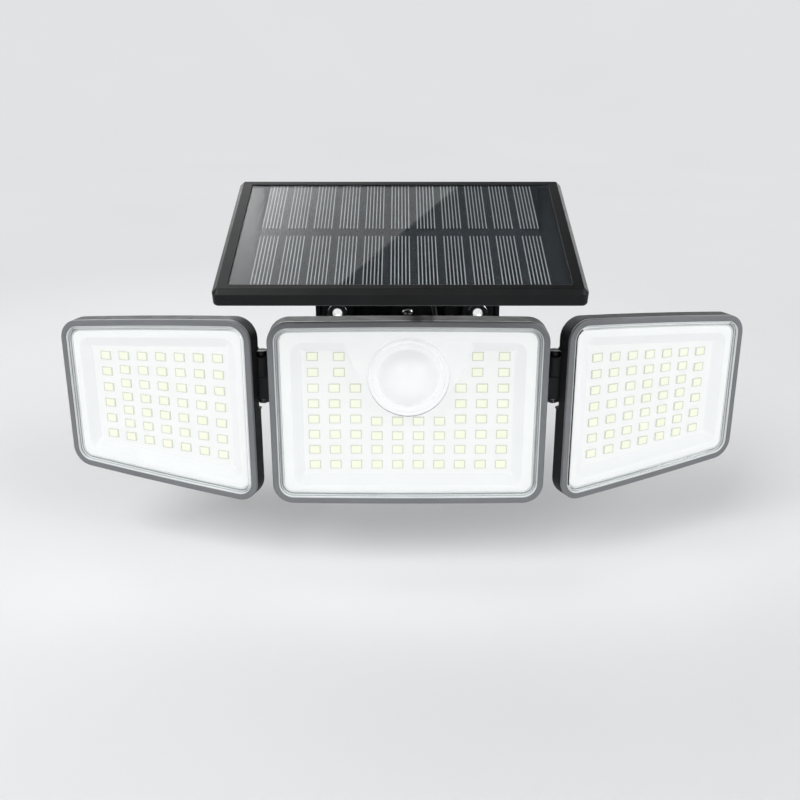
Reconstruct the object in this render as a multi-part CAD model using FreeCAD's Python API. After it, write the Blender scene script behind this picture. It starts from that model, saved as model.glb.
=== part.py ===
"""Motion sensor security light: three lamp heads and a solar panel on one wall bracket.

Frame: X to the viewer's right, Y into the wall, Z up, in millimetres.
The origin lies on the wall, midway between the two screw holes of the bracket.
Every lamp head is drawn in a frame of its own, with its rim in the plane y = 0 and its
middle at x = z = 0, and then put in its place. The solar panel is drawn about its tilt axis.
"""
import FreeCAD, Part
import math
import os
from dataclasses import dataclass

# ---------------------------------------------------------------- driving dimensions
# placing of the main parts
WALL_TO_RIM = 74.0            # wall to the front rim of the centre head
HEAD_DROP = 37.0              # wall holes down to the middle of the centre head

# centre head
HEAD_WIDTH = 144.0
HEAD_HEIGHT = 100.0
HEAD_DEPTH = 14.0             # rim to the back edge of the side walls
HEAD_CORNER = 11.0
RIM_CROWN = 0.6               # bulge of the long edges of every rim
REAR_ROUND = 3.0              # round along the back edge of every housing

# wing heads: taller at the hinge than at the far end
WING_WIDTH = 113.0
WING_INNER_HEIGHT = 101.5
WING_OUTER_HEIGHT = 82.5
WING_DEPTH = 12.0
LEFT_YAW = 18.0               # outward turn of each wing at rest, degrees
RIGHT_YAW = 24.0

# layers of every head, as depths behind the rim and insets from its outline
WALL = 2.0                    # housing wall
FLOOR = 2.0                   # housing back
FRAME_FACE = 2.0              # thickness of the front frame
FRAME_BORDER = 3.6            # width of the front frame
FRAME_SKIRT = 0.9             # wall of the skirt that locates the frame in the housing
PART_LINE = 0.35              # shadow gap between frame and housing
SLIP = 0.1                    # clearance of pieces that drop into each other
FUSE = 0.5                    # how far a joined piece runs into its neighbour
PROUD = 1.0                   # how far a cutting tool stands out of what it cuts
RIM_CHAMFER = 0.5
LENS_GAP = 0.05               # lens to the front frame
LENS_SINK = 0.5               # lens face behind the rim
LENS_FLANGE = 1.2
LENS_ROOM = 0.15              # lens to the white tray behind it
LENS_BEVEL = 0.9
GASKET_T = 1.0
LEDGE_WIDTH = 4.0             # ledge inside the housing that carries the gasket
LEDGE_T = 2.0
REFLECTOR_EDGE = 6.2          # inset of the white reflector's outer edge
REFLECTOR_WALL = 1.0
BOARD_DEPTH = 7.5             # rim to the face of the LED board
BOARD_T = 1.2
BOARD_POST_R = 2.6
BOARD_GAP = 0.4               # room behind the board at the hinge's root
BOARD_POST_SIDE = 14.0        # post to the side of the centre head
BOARD_POST_TOP = 11.5         # post to its top edge
BOARD_POST_BOTTOM = 7.5       # post to its bottom edge
WING_POST_SIDE = 14.5         # the same in the wings, from their mean height
WING_POST_CORNER = 19.0
WING_POST_MIDDLE = 9.5

# raised back of the wings
PAD_INSET = 17.0
PAD_CORNER = 8.0
PAD_RISE = 4.0
PAD_RIBS = 7
PAD_RIB_PITCH = 9.0
PAD_RIB_T = 1.8
PAD_RIB_RISE = 1.4
PAD_RIB_END = 8.0             # rib's end to the pad's edge at the outer side

# opening of the white trays, measured inwards from the outline of each head
FIELD_MARGIN_SIDE = 11.5
FIELD_MARGIN_TOP = 11.5
FIELD_MARGIN_BOTTOM = 9.3
WING_FIELD_MARGIN = 10.0
FIELD_CORNER = 6.0
FIELD_SLOPE = 5.0             # width of the slope from the opening down to the board

# LED packages
LED_W = 6.0
LED_H = 4.7
LED_T = 0.9
LED_PITCH_X = 11.0
LED_PITCH_Z = 8.6
HEAD_LED_TOP = 30.4           # height of the top row
HEAD_LED_WIDE = 35.8          # inner LEDs of the two top rows
HEAD_LED_ROUND = (1.2, 0.8)   # how far the middle LEDs of rows 5 and 6 drop round the dome
WING_LED_PITCH_X = 11.3
WING_LED_PITCH_Z = 8.3
WING_LED_TOP = 25.7
WING_LED_FAN = 0.0027         # growth of the row spacing per millimetre towards the hinge

# motion sensor
DOME_HEIGHT_Z = 20.5          # above the middle of the head
DOME_R = 16.0
DOME_RISE = 10.0
DOME_T = 1.0
SENSOR_RING_R = 21.0
SENSOR_GROOVE_R = 19.1
SENSOR_CAN_R = 4.6
SENSOR_CAN_H = 4.2
SENSOR_FLANGE = 0.5           # rim of the can, wide and thick
DOME_FOOT_T = 1.6
DOME_BASE = 0.8               # edge of the dome behind the rim
DOME_GAP = 0.3                # dome to its ring
SENSOR_SEAT = 2.0             # seat of the dome's foot on the reflector
PLATFORM_TOP = 33.0           # half widths of the raised V above the dome
PLATFORM_WAIST = 24.0

# rear box of the centre head
BOX_SIDE = 50.0
BOX_TOP = 34.0
BOX_BOTTOM = 38.0
BOX_BACK = 31.5               # rim to the back of the box walls
BOX_CORNER = 7.0
COVER_T = 2.5
COVER_CHAMFER = 0.8
COVER_SCREW_R = 1.5
COVER_SCREW_LENGTH = 9.0
COVER_SCREW_HEAD_T = 1.6
COVER_SCREW_SINK = 1.0        # seat of the screw's head in the cover
COVER_SCREW_INSET = 5.4
COVER_RIBS = 5
COVER_RIB_PITCH = 15.0
COVER_RIB_T = 1.6
COVER_RIB_RISE = 1.2
COVER_RIB_END = 5.0
SCREW_BOSS_R = 3.8
CELL_R = 9.1
CELL_LENGTH = 65.2
CELL_SPACING = 19.6
CELL_TOP_Z = 19.5
CELL_CONTACT_R = 2.8
CELL_CONTACT_T = 1.2
CRADLE_T = 1.2
CRADLE_END = 2.4              # cradle past the cells' ends
CRADLE_GAP = 0.3              # cradle to the rear cover
CRADLE_BED = 0.45             # bed's edge behind the cells' axes, as a share of their radius
CONTROL_W = 76.0
CONTROL_H = 17.0
CONTROL_T = 1.6
CONTROL_GAP = 1.0             # centre head's back to the control board
CHIP_X = 9.0                  # chip and coil beside the board's middle
CHIP_W = 10.0
CHIP_H = 8.0
CHIP_T = 2.0
COIL_X = 8.0
COIL_R = 3.5
COIL_T = 4.0
PART_DROP = 8.0               # middle of chip and coil below the board's top edge
RAIL_T = 1.2
RAIL_X = 12.0
RAIL_W = 8.0
RAIL_RISE = 3.0
BUTTON_X = 27.0
BUTTON_R = 4.5
BUTTON_STAND = 2.2            # how far the button stands out
BUTTON_TRAVEL = 1.2
BUTTON_GAP = 0.3
BUTTON_ROUND = 1.0
BUTTON_FLANGE = 1.2           # flange that holds the button in, wide and thick
BUTTON_TIP_R = 1.5
BUTTON_COLLAR = 3.0           # collar round the button in the box's wall
BUTTON_COLLAR_T = 1.0
SWITCH_W = 6.0
SWITCH_H = 3.5
SWITCH_RISE = 3.4             # switch above the box's inner face
SWITCH_REACH = 3.0            # switch past the button's axis

# head tilt joint
TILT_SETBACK = 48.0           # rim to the tilt axis
TILT_HEIGHT = 20.0            # above the middle of the head
BARREL_R = 8.5
BARREL_WEB_T = 4.0
BARREL_WEB_TOP = 3.0          # webs past the barrel at their root
BARREL_WEB_BOTTOM = 6.0
CHEEK_R = 9.0
CHEEK_SPREAD = 50.0           # outer faces of the two cheeks
CHEEK_T = 4.0
CHEEK_BRACE = (9.0, 7.0, 2.5) # brace beside each cheek: reach, width and thickness
CHEEK_BRACE_DROP = 10.0       # brace below the wall holes
JOINT_GAP = 0.3               # between faces that turn on each other
BOLT_R = 2.5
BOLT_HEAD_R = 4.6
BOLT_HEAD_T = 3.0
NUT_R = 4.6
NUT_T = 4.0
WASHER_T = 1.0
WASHER_RIM = 0.6              # washer past the nut
BOLT_ROUND = 1.0
SLOT_W = 1.2                  # screwdriver slot of the tilt bolts
SLOT_DEPTH = 1.0
BOLT_TAIL = 1.2               # bolt past its nut
PIN_CLEARANCE = 0.06

# wing hinge: stacked lugs on a vertical bolt
HINGE_GAP = 4.7               # side of the centre head to the fold axis
HINGE_SETBACK = 14.5          # rim to the fold axis
HINGE_TO_WING = 56.0          # fold axis to the middle of the wing
LUG_R = 6.3
LUG_ROOT = 5.5                # block behind the lug, inside the housing
LUG_NECK = 9.0                # neck past the side wall
HEAD_LUG_BOTTOM = 6.0
HEAD_LUG_TOP = 18.2
WING_LUG_TOP = 28.7
LUG_RELIEF = 0.5              # room round a lug in the other housing
SLEEVE_T = 1.2                # wall round that room inside the wing
FOLD_BOLT_R = 2.0
FOLD_HEAD_R = 3.8
FOLD_HEAD_T = 2.6
FOLD_NUT_R = 4.0
FOLD_NUT_T = 1.8
FOLD_ROUND = 0.9
FOLD_SLOT_W = 1.0
FOLD_TAIL = 0.8               # fold bolt past its nut
WELL_FOOT = 2.2               # room below the fold nut
WELL_CROWN = 1.2              # room above the fold bolt's head
WELL_WALL = 2.0               # root block past the room

# wall bracket
PLATE_WIDTH = 105.0
PLATE_TOP = 22.0              # above the screw holes
PLATE_BOTTOM = 32.0
PLATE_T = 4.5
PLATE_CORNER = 6.0
PLATE_RIM = 2.4
PLATE_POCKET = 1.2
HOLE_SPACING = 80.0
HOLE_BOSS_R = 9.0
HOLE_BOSS_T = 2.0
FOOT_PAD = 1.5                # raised pad of the plate round the arm's foot
FOOT_PAD_T = 2.0
FERRULE_BORE_R = 2.6
FERRULE_R = 4.0
FERRULE_FLANGE_R = 5.8
FERRULE_FLANGE_T = 1.0
FERRULE_SINK = 1.0            # ferrule's flange below the boss
FERRULE_GAP = 0.3             # room round the flange
FERRULE_FIT = 0.02
CHEEK_ROOT_TOP = 8.0
CHEEK_ROOT_BOTTOM = 30.0

# panel arm
EAR_R = 8.5
EAR_T = 8.0
FOOT_WIDTH = 18.0
FOOT_TOP = 20.0
FOOT_BOTTOM = 6.5             # below the wall holes
FOOT_T = 5.0
FOOT_CORNER = 2.0
ARM_ROOT_TOP = 18.0
ARM_ROOT_BOTTOM = 6.5         # above the wall holes
ARM_POCKET = 2.5
ARM_BORDER = 3.2
ARM_BOW = (3.4, 5.0)          # bow of the arm's edges outwards and upwards
ARM_RIB = (7.6, 7.0, 8.0)     # rib between foot and arm: width, reach and height
ARM_RIB_LOW = 4.0             # foot of the rib above the wall holes
FOOT_SCREW_R = 1.75
FOOT_SCREW_HEAD_R = 3.4
FOOT_SCREW_HEAD_T = 2.2
FOOT_SCREW_STOP = 1.2         # wall plate left behind the screw's tip
FOOT_SCREWS = [(0.0, 1.2), (-5.0, 15.0)]

# solar panel
PANEL_WIDTH = 172.0
PANEL_LENGTH = 111.0
PANEL_T = 8.5
PANEL_BEVEL = 2.2
PANEL_CORNER = 3.0
PANEL_TILT = 19.0             # degrees at rest
PANEL_AXIS_Y = 58.5           # tilt axis in front of the wall
PANEL_AXIS_Z = 38.3           # tilt axis above the wall holes
PANEL_FOOT_ROUND = 1.2        # round along the panel's lower edge
PANEL_POST_R = 3.0
PANEL_SCREW_INSET = 7.0
PANEL_SHELF = 1.4             # shelf under the laminate
RECESS_CORNER = 1.0
KNUCKLE_DROP = 12.0           # tilt axis below the panel's underside
KNUCKLE_SPREAD = 5.0          # knuckle's web past the ear at its root
KNUCKLE_PAD = (15.0, 18.0, 1.5)  # pad under the knuckle: half sizes and rise
KNUCKLE_PAD_CORNER = 4.0
BORDER_SIDE = 4.8
BORDER_END = 3.4
COVER_SINK = 0.6              # clear cover below the panel's top face
CLEAR_COVER_T = 0.8
CELL_T = 0.3
BACKING_T = 1.2
PANEL_WALL = 2.4
BACK_COVER_T = 2.0
PANEL_SCREW_R = 1.2
PANEL_SCREW_LENGTH = 4.2
PANEL_SCREW_HEAD_T = 1.4
BACK_RIBS = 3                 # on each side of the knuckle
BACK_RIB_FIRST = 24.0
BACK_RIB_PITCH = 18.0
BACK_RIB_T = 1.6
BACK_RIB_RISE = 1.2
BACK_RIB_END = 15.5           # rib's end to the panel's edge
CELL_COLUMNS = 11
CELL_ROWS = 2
CELL_MARGIN_SIDE = 10.2       # plain laminate beside the outer cells
CELL_MARGIN_END = 1.2
CELL_GAP_X = 3.4
CELL_GAP_Y = 6.6              # busbar band between the two rows

# lead from the panel's gland to the arm's clip, and on to the gland of the centre head;
# its points (x, y, z) are chosen by hand
LEAD_R = 1.25
LEAD_BEND = 0.45              # share of the shorter run that each arc takes
GLAND_R = 3.4
GLAND_STEM_R = 2.1
GLAND_NUT_T = 2.6
CLIP_R = 2.7
CLIP_LENGTH = 5.0
CLIP_SLIT = 1.2
CLIP_STEM = 0.7               # clip's stem as a share of its ring
CLIP_FIT = 0.05
GLAND_FLAT = 0.6              # gland's nut past its body
GLAND_NOSE = 0.7              # gland's nose past the lead
GLAND_TAPER = 0.4
GLAND_TAIL = 1.0              # gland's stem past the wall
UPPER_LEAD = [
    (11.6, -39.1, 49.6),
    (11.6, -36.5, 42.0),
    (11.6, -38.1, 33.9),
]
LOWER_LEAD = [
    (11.6, -38.1, 33.9),
    (11.6, -39.6, 26.3),
    (12.1, -42.4, 18.4),
    (14.6, -47.0, 10.2),
    (14.6, -47.0, 2.9),
]

# ---------------------------------------------------------------- derived places
CHEEK_INNER = CHEEK_SPREAD / 2 - CHEEK_T
BARREL_HALF = CHEEK_INNER - JOINT_GAP
TILT_Y = TILT_SETBACK - WALL_TO_RIM
TILT_Z = TILT_HEIGHT - HEAD_DROP
FOLD_X = HEAD_WIDTH / 2 + HINGE_GAP
FOLD_Y = HINGE_SETBACK - WALL_TO_RIM
PANEL_X = -(EAR_T + JOINT_GAP) / 2
EAR_INNER = JOINT_GAP / 2
LENS_BACK = FRAME_FACE + LENS_GAP + LENS_FLANGE
LEDGE_FRONT = LENS_BACK + GASKET_T
WING_LUG_BOTTOM = HEAD_LUG_TOP + JOINT_GAP
COVER_BACK = BOX_BACK + COVER_T
REFLECTOR_FRONT = LENS_BACK + LENS_ROOM
HEAD_FIELD_SIDE = HEAD_WIDTH / 2 - FIELD_MARGIN_SIDE
HEAD_FIELD_TOP = HEAD_HEIGHT / 2 - FIELD_MARGIN_TOP
HEAD_FIELD_BOTTOM = HEAD_HEIGHT / 2 - FIELD_MARGIN_BOTTOM
BUTTON_Y = (HEAD_DEPTH + BOX_BACK) / 2
CELL_Y = BOX_BACK - CRADLE_GAP - CRADLE_T - CELL_R
WELL_LOW = HEAD_LUG_BOTTOM - WASHER_T - FOLD_NUT_T - WELL_FOOT
WELL_HIGH = WING_LUG_TOP + FOLD_HEAD_T + WELL_CROWN
UNDERSIDE = KNUCKLE_DROP
TOP_FACE = KNUCKLE_DROP + PANEL_T
COVER_TOP = TOP_FACE - COVER_SINK
CELL_TOP = COVER_TOP - CLEAR_COVER_T
BACKING_TOP = CELL_TOP - CELL_T
SEAT = BACKING_TOP - BACKING_T
RECESS_WIDTH = PANEL_WIDTH - 2 * (PANEL_BEVEL + BORDER_SIDE)
RECESS_LENGTH = PANEL_LENGTH - 2 * (PANEL_BEVEL + BORDER_END)
CELL_FIELD_WIDTH = RECESS_WIDTH - 2 * CELL_MARGIN_SIDE
CELL_FIELD_LENGTH = RECESS_LENGTH - 2 * CELL_MARGIN_END


# ---------------------------------------------------------------- helpers
@dataclass(frozen=True)
class Outline:
    """Outline of a head seen from the front, with crowned long edges."""

    width: float
    height_left: float
    height_right: float
    radius: float
    crown: float
    middle_z: float = 0.0


HEAD = Outline(HEAD_WIDTH, HEAD_HEIGHT, HEAD_HEIGHT, HEAD_CORNER, RIM_CROWN)


def wing_outline(side):
    """Outline of a wing: side is 1 for the right wing and -1 for the left one."""
    heights = (WING_INNER_HEIGHT, WING_OUTER_HEIGHT)[::side]
    return Outline(WING_WIDTH, heights[0], heights[1], HEAD_CORNER, RIM_CROWN)


def vec(x, y, z):
    return FreeCAD.Vector(x, y, z)


def block(x_range, y_range, z_range):
    """Axis-parallel box between two limits on each axis."""
    (x0, x1), (y0, y1), (z0, z1) = sorted(x_range), sorted(y_range), sorted(z_range)
    return Part.makeBox(x1 - x0, y1 - y0, z1 - z0, vec(x0, y0, z0))


def rod(radius, start, direction, length):
    return Part.makeCylinder(radius, length, vec(*start), vec(*direction))


def hexagon(radius, start, direction, length):
    """Hexagonal prism, such as a nut, by its corner radius."""
    axis = vec(*direction)
    seed = vec(0, 0, 1) if abs(axis.z) < 0.5 else vec(1, 0, 0)
    across = axis.cross(seed).normalize()
    up = axis.cross(across)
    base = vec(*start)
    corners = []
    for step in range(6):
        angle = math.radians(60 * step)
        corners.append(base + across * (radius * math.cos(angle)) + up * (radius * math.sin(angle)))
    face = Part.Face(Part.makePolygon(corners + corners[:1]))
    return face.extrude(axis * length)


def edges_along(shape, axis, length):
    """Straight edges of a shape that run along an axis and have a given length."""
    found = []
    for edge in shape.Edges:
        ends = edge.Vertexes
        if len(ends) != 2:
            continue
        span = ends[1].Point - ends[0].Point
        if abs(abs(span.dot(axis)) - length) < 1e-4 and abs(span.Length - length) < 1e-4:
            found.append(edge)
    return found


def slab(outline, inset, front, back):
    """Plate of an outline, moved inwards by inset, between two depths."""
    half_w = outline.width / 2 - inset
    slope = (outline.height_right - outline.height_left) / 2 / outline.width
    mean = (outline.height_left + outline.height_right) / 4
    drop = inset * math.hypot(1, slope)
    left = mean - slope * half_w - drop
    right = mean + slope * half_w - drop
    middle = mean - drop + outline.crown
    z = outline.middle_z
    top_left, top_right = vec(-half_w, front, z + left), vec(half_w, front, z + right)
    low_left, low_right = vec(-half_w, front, z - left), vec(half_w, front, z - right)
    top = Part.Arc(top_left, vec(0, front, z + middle), top_right).toShape()
    low = Part.Arc(low_right, vec(0, front, z - middle), low_left).toShape()
    sides = [Part.makeLine(top_right, low_right), Part.makeLine(low_left, top_left)]
    face = Part.Face(Part.Wire([top, sides[0], low, sides[1]]))
    solid = face.extrude(vec(0, back - front, 0))
    radius = max(outline.radius - inset, 1.2)
    return solid.makeFillet(radius, edges_along(solid, vec(0, 1, 0), back - front))


def ring(outline, outer_inset, inner_inset, front, back):
    """Frame between two insets of an outline."""
    reach = 1.0
    outer = slab(outline, outer_inset, front, back)
    return outer.cut(slab(outline, inner_inset, front - reach, back + reach))


def rectangle(x_range, z_range, radius, front, back):
    """Plate with rounded corners, in the plane of the heads."""
    plate = block(x_range, (front, back), z_range)
    return plate.makeFillet(radius, edges_along(plate, vec(0, 1, 0), abs(back - front)))


def front_wire(solid, depth):
    """Outer wire of the face of a solid that lies at one depth."""
    for face in solid.Faces:
        box = face.BoundBox
        if box.YLength < 1e-6 and abs(box.YMin - depth) < 1e-6:
            return face.OuterWire
    raise ValueError("no face at this depth")


def rear_edges(solid, depth):
    """Edges that lie wholly at one depth."""
    flat = []
    for edge in solid.Edges:
        box = edge.BoundBox
        if abs(box.YMin - depth) < 1e-4 and abs(box.YMax - depth) < 1e-4:
            flat.append(edge)
    return flat


def fuse_all(shapes):
    whole = shapes[0].fuse(shapes[1:]) if len(shapes) > 1 else shapes[0]
    return whole.removeSplitter()


def head_place(shape):
    """Move a shape from the centre head's frame to its place in the light."""
    shape.translate(vec(0, -WALL_TO_RIM, -HEAD_DROP))
    return shape


def wing_place(shape, side):
    """Move a shape from a wing's frame to the fold axis and turn it outwards."""
    shape.translate(vec(side * (FOLD_X + HINGE_TO_WING), -WALL_TO_RIM, -HEAD_DROP))
    yaw = RIGHT_YAW if side > 0 else -LEFT_YAW
    shape.rotate(vec(side * FOLD_X, FOLD_Y, 0), vec(0, 0, 1), yaw)
    return shape


def panel_place(shape):
    """Move a shape from the panel's frame to the tilt axis and tilt it."""
    shape.rotate(vec(0, 0, 0), vec(1, 0, 0), PANEL_TILT)
    shape.translate(vec(PANEL_X, -PANEL_AXIS_Y, PANEL_AXIS_Z))
    return shape


# ---------------------------------------------------------------- layers shared by all heads
def front_frame(outline):
    """Frame round the lens, with a skirt that drops into the housing."""
    face = ring(outline, 0, FRAME_BORDER, 0, FRAME_FACE)
    face = face.makeChamfer(RIM_CHAMFER, rear_edges(face, 0))
    skirt_in = WALL + SLIP + FRAME_SKIRT
    skirt = ring(outline, WALL + SLIP, skirt_in, FRAME_FACE, LEDGE_FRONT - SLIP)
    return fuse_all([face, skirt])


def lens(outline):
    """Clear cover with a bevelled plateau inside the frame and a flange behind it."""
    flange_front = FRAME_FACE + LENS_GAP
    edge = FRAME_BORDER + SLIP + LENS_GAP
    flange = slab(outline, WALL + FRAME_SKIRT + 2 * SLIP, flange_front, LENS_BACK)
    plateau = slab(outline, edge, LENS_SINK, flange_front)
    plateau = plateau.makeChamfer(LENS_BEVEL, rear_edges(plateau, LENS_SINK))
    return fuse_all([flange, plateau])


def gasket(outline):
    """Sealing ring between the lens and the housing's ledge."""
    outer = WALL + FRAME_SKIRT + 2 * SLIP
    return ring(outline, outer, WALL + LEDGE_WIDTH - SLIP, LENS_BACK, LEDGE_FRONT)


def led_board(outline):
    edge = WALL + LEDGE_WIDTH + SLIP
    return slab(outline, edge, BOARD_DEPTH, BOARD_DEPTH + BOARD_T)


def reflector(outline, field):
    """White tray: a flat flange under the lens, with an opening that slopes down to the board."""
    front, back = REFLECTOR_FRONT, BOARD_DEPTH - LENS_GAP
    flange = slab(outline, REFLECTOR_EDGE, front, front + REFLECTOR_WALL)

    def funnel(inset):
        wide = front_wire(slab(field, inset, front, back), front)
        narrow = front_wire(slab(field, inset + FIELD_SLOPE, front, back), back)
        return Part.makeLoft([wide, narrow], True, True)

    return flange.fuse(funnel(-REFLECTOR_WALL)).cut(funnel(0)).removeSplitter()


def led_group(places, front):
    """LED packages at places (x, z), each standing on its board."""
    packages = []
    for x, z in places:
        body = block((x - LED_W / 2, x + LED_W / 2), (front - LED_T, front), (z - LED_H / 2, z + LED_H / 2))
        packages.append(body)
    return Part.makeCompound(packages)


def shell(outline, depth):
    """Open housing: side walls, a rounded back and the ledge for the gasket."""
    front = FRAME_FACE + PART_LINE
    outer = slab(outline, 0, front, depth)
    outer = outer.makeFillet(REAR_ROUND, rear_edges(outer, depth))
    hollow = slab(outline, WALL, front - PROUD, depth - FLOOR)
    ledge = ring(outline, WALL - FUSE, WALL + LEDGE_WIDTH, LEDGE_FRONT, LEDGE_FRONT + LEDGE_T)
    return outer.cut(hollow).fuse(ledge)


def board_posts(places, depth):
    """Posts from the housing's back to the LED board."""
    front = BOARD_DEPTH + BOARD_T
    reach = depth - FLOOR + FUSE - front
    return [rod(BOARD_POST_R, (x, front, z), (0, 1, 0), reach) for x, z in places]


# ---------------------------------------------------------------- fold hinge between heads
def lug(side, towards, z_range, reach):
    """Lug of a fold hinge at x = 0: a disc and a neck of length reach towards a housing."""
    z0, z1 = z_range
    disc = rod(LUG_R, (0, 0, z0), (0, 0, 1), z1 - z0)
    neck = block((0, side * towards * reach), (-LUG_R, LUG_R), z_range)
    return disc.fuse(neck)


def fold_well(radius, z_range):
    """Round clearance about a fold axis at x = 0."""
    z0, z1 = z_range
    return rod(radius, (0, 0, z0), (0, 0, 1), z1 - z0)


def head_lug_solids(side):
    """Lug, its root block inside the housing, and the room it leaves the wing's lug."""
    axis = (side * FOLD_X, HINGE_SETBACK)
    body = lug(side, -1, (HEAD_LUG_BOTTOM, HEAD_LUG_TOP), HINGE_GAP + LUG_NECK)
    body.translate(vec(axis[0], axis[1], 0))
    body = body.cut(slab(HEAD, WALL, FRAME_FACE, BOARD_DEPTH + BOARD_T + BOARD_GAP))
    inner = HEAD_WIDTH / 2 - WALL - LUG_ROOT
    root = block((side * inner, side * (HEAD_WIDTH / 2 - WALL / 2)),
                 (BOARD_DEPTH + BOARD_T + BOARD_GAP, HEAD_DEPTH - FLOOR / 2),
                 (WELL_LOW - WELL_WALL, WELL_HIGH + WELL_WALL))
    well = fold_well(LUG_R + LUG_RELIEF, (HEAD_LUG_TOP, WELL_HIGH))
    well.translate(vec(axis[0], axis[1], 0))
    low = fold_well(FOLD_NUT_R + 2 * LUG_RELIEF, (WELL_LOW, HEAD_LUG_BOTTOM))
    low.translate(vec(axis[0], axis[1], 0))
    bore = rod(FOLD_BOLT_R + PIN_CLEARANCE, (axis[0], axis[1], WELL_LOW), (0, 0, 1), WELL_HIGH - WELL_LOW)
    return body, root, [well, low, bore]


# ---------------------------------------------------------------- centre head
HEAD_FIELD = Outline(2 * HEAD_FIELD_SIDE, HEAD_FIELD_TOP + HEAD_FIELD_BOTTOM,
                     HEAD_FIELD_TOP + HEAD_FIELD_BOTTOM, FIELD_CORNER, 0.05,
                     (HEAD_FIELD_TOP - HEAD_FIELD_BOTTOM) / 2)
COVER_SCREWS = [(sx * (BOX_SIDE - COVER_SCREW_INSET), z) for sx in (-1, 1)
                for z in (BOX_TOP - COVER_SCREW_INSET, (BOX_TOP - BOX_BOTTOM) / 2,
                          -BOX_BOTTOM + COVER_SCREW_INSET)]


def platform(front, back):
    """Raised V that carries the sensor ring: a trapezium that ends in a disc."""
    corners = [(-PLATFORM_TOP, HEAD_FIELD_TOP), (PLATFORM_TOP, HEAD_FIELD_TOP),
               (PLATFORM_WAIST, DOME_HEIGHT_Z), (0, DOME_HEIGHT_Z - SENSOR_RING_R / 2),
               (-PLATFORM_WAIST, DOME_HEIGHT_Z)]
    points = [vec(x, front, z) for x, z in corners]
    face = Part.Face(Part.makePolygon(points + points[:1]))
    wedge = face.extrude(vec(0, back - front, 0))
    disc = rod(SENSOR_RING_R, (0, front, DOME_HEIGHT_Z), (0, 1, 0), back - front)
    return wedge.fuse(disc).removeSplitter()


def head_housing():
    """Moulded housing of the centre head, with its box, bosses and the two hinge lugs."""
    body = shell(HEAD, HEAD_DEPTH)
    box_z = (-BOX_BOTTOM, BOX_TOP)
    box = rectangle((-BOX_SIDE, BOX_SIDE), box_z, BOX_CORNER, HEAD_DEPTH - PROUD, BOX_BACK)
    body = body.fuse(box)
    inner_x = BOX_SIDE - WALL
    inner_z = (-BOX_BOTTOM + WALL, BOX_TOP - WALL)
    hollow = rectangle((-inner_x, inner_x), inner_z, BOX_CORNER - WALL,
                       HEAD_DEPTH - FLOOR - PROUD, BOX_BACK + PROUD)
    body = body.cut(hollow)
    post_x = HEAD_WIDTH / 2 - BOARD_POST_SIDE
    post_z = (BOARD_POST_BOTTOM - HEAD_HEIGHT / 2, HEAD_HEIGHT / 2 - BOARD_POST_TOP)
    posts = board_posts([(x, z) for x in (-post_x, 0, post_x) for z in post_z], HEAD_DEPTH)
    boss_front = HEAD_DEPTH + FLOOR
    bosses = [rod(SCREW_BOSS_R, (x, boss_front, z), (0, 1, 0), BOX_BACK - boss_front)
              for x, z in COVER_SCREWS]
    body = body.fuse(posts + bosses + control_rails())
    cuts = [rod(COVER_SCREW_R + PIN_CLEARANCE, (x, BOX_BACK - COVER_SCREW_LENGTH, z), (0, 1, 0),
                COVER_SCREW_LENGTH + PROUD) for x, z in COVER_SCREWS]
    for side in (-1, 1):
        arm, root, wells = head_lug_solids(side)
        body = body.fuse([arm, root])
        cuts += wells
    collar_low = -BOX_BOTTOM - BUTTON_COLLAR_T
    collar = rod(BUTTON_R + BUTTON_COLLAR, (BUTTON_X, BUTTON_Y, collar_low), (0, 0, 1),
                 BUTTON_COLLAR_T + WALL)
    body = body.fuse(collar)
    cuts.append(rod(BUTTON_R + BUTTON_GAP, (BUTTON_X, BUTTON_Y, collar_low - PROUD), (0, 0, 1),
                    BUTTON_COLLAR_T + WALL + 2 * PROUD))
    return head_place(body.cut(cuts)).cut(head_gland_hole()).removeSplitter()


def control_rails():
    """Pairs of rails on the floor of the box that hold the control board."""
    rails = []
    front = HEAD_DEPTH + CONTROL_GAP
    for x in (-RAIL_X, RAIL_X):
        for y in (front - RAIL_T - SLIP, front + CONTROL_T + SLIP):
            rails.append(block((x - RAIL_W / 2, x + RAIL_W / 2), (y, y + RAIL_T),
                               (-BOX_BOTTOM + WALL - FUSE, -BOX_BOTTOM + WALL + RAIL_RISE)))
    return rails


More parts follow.
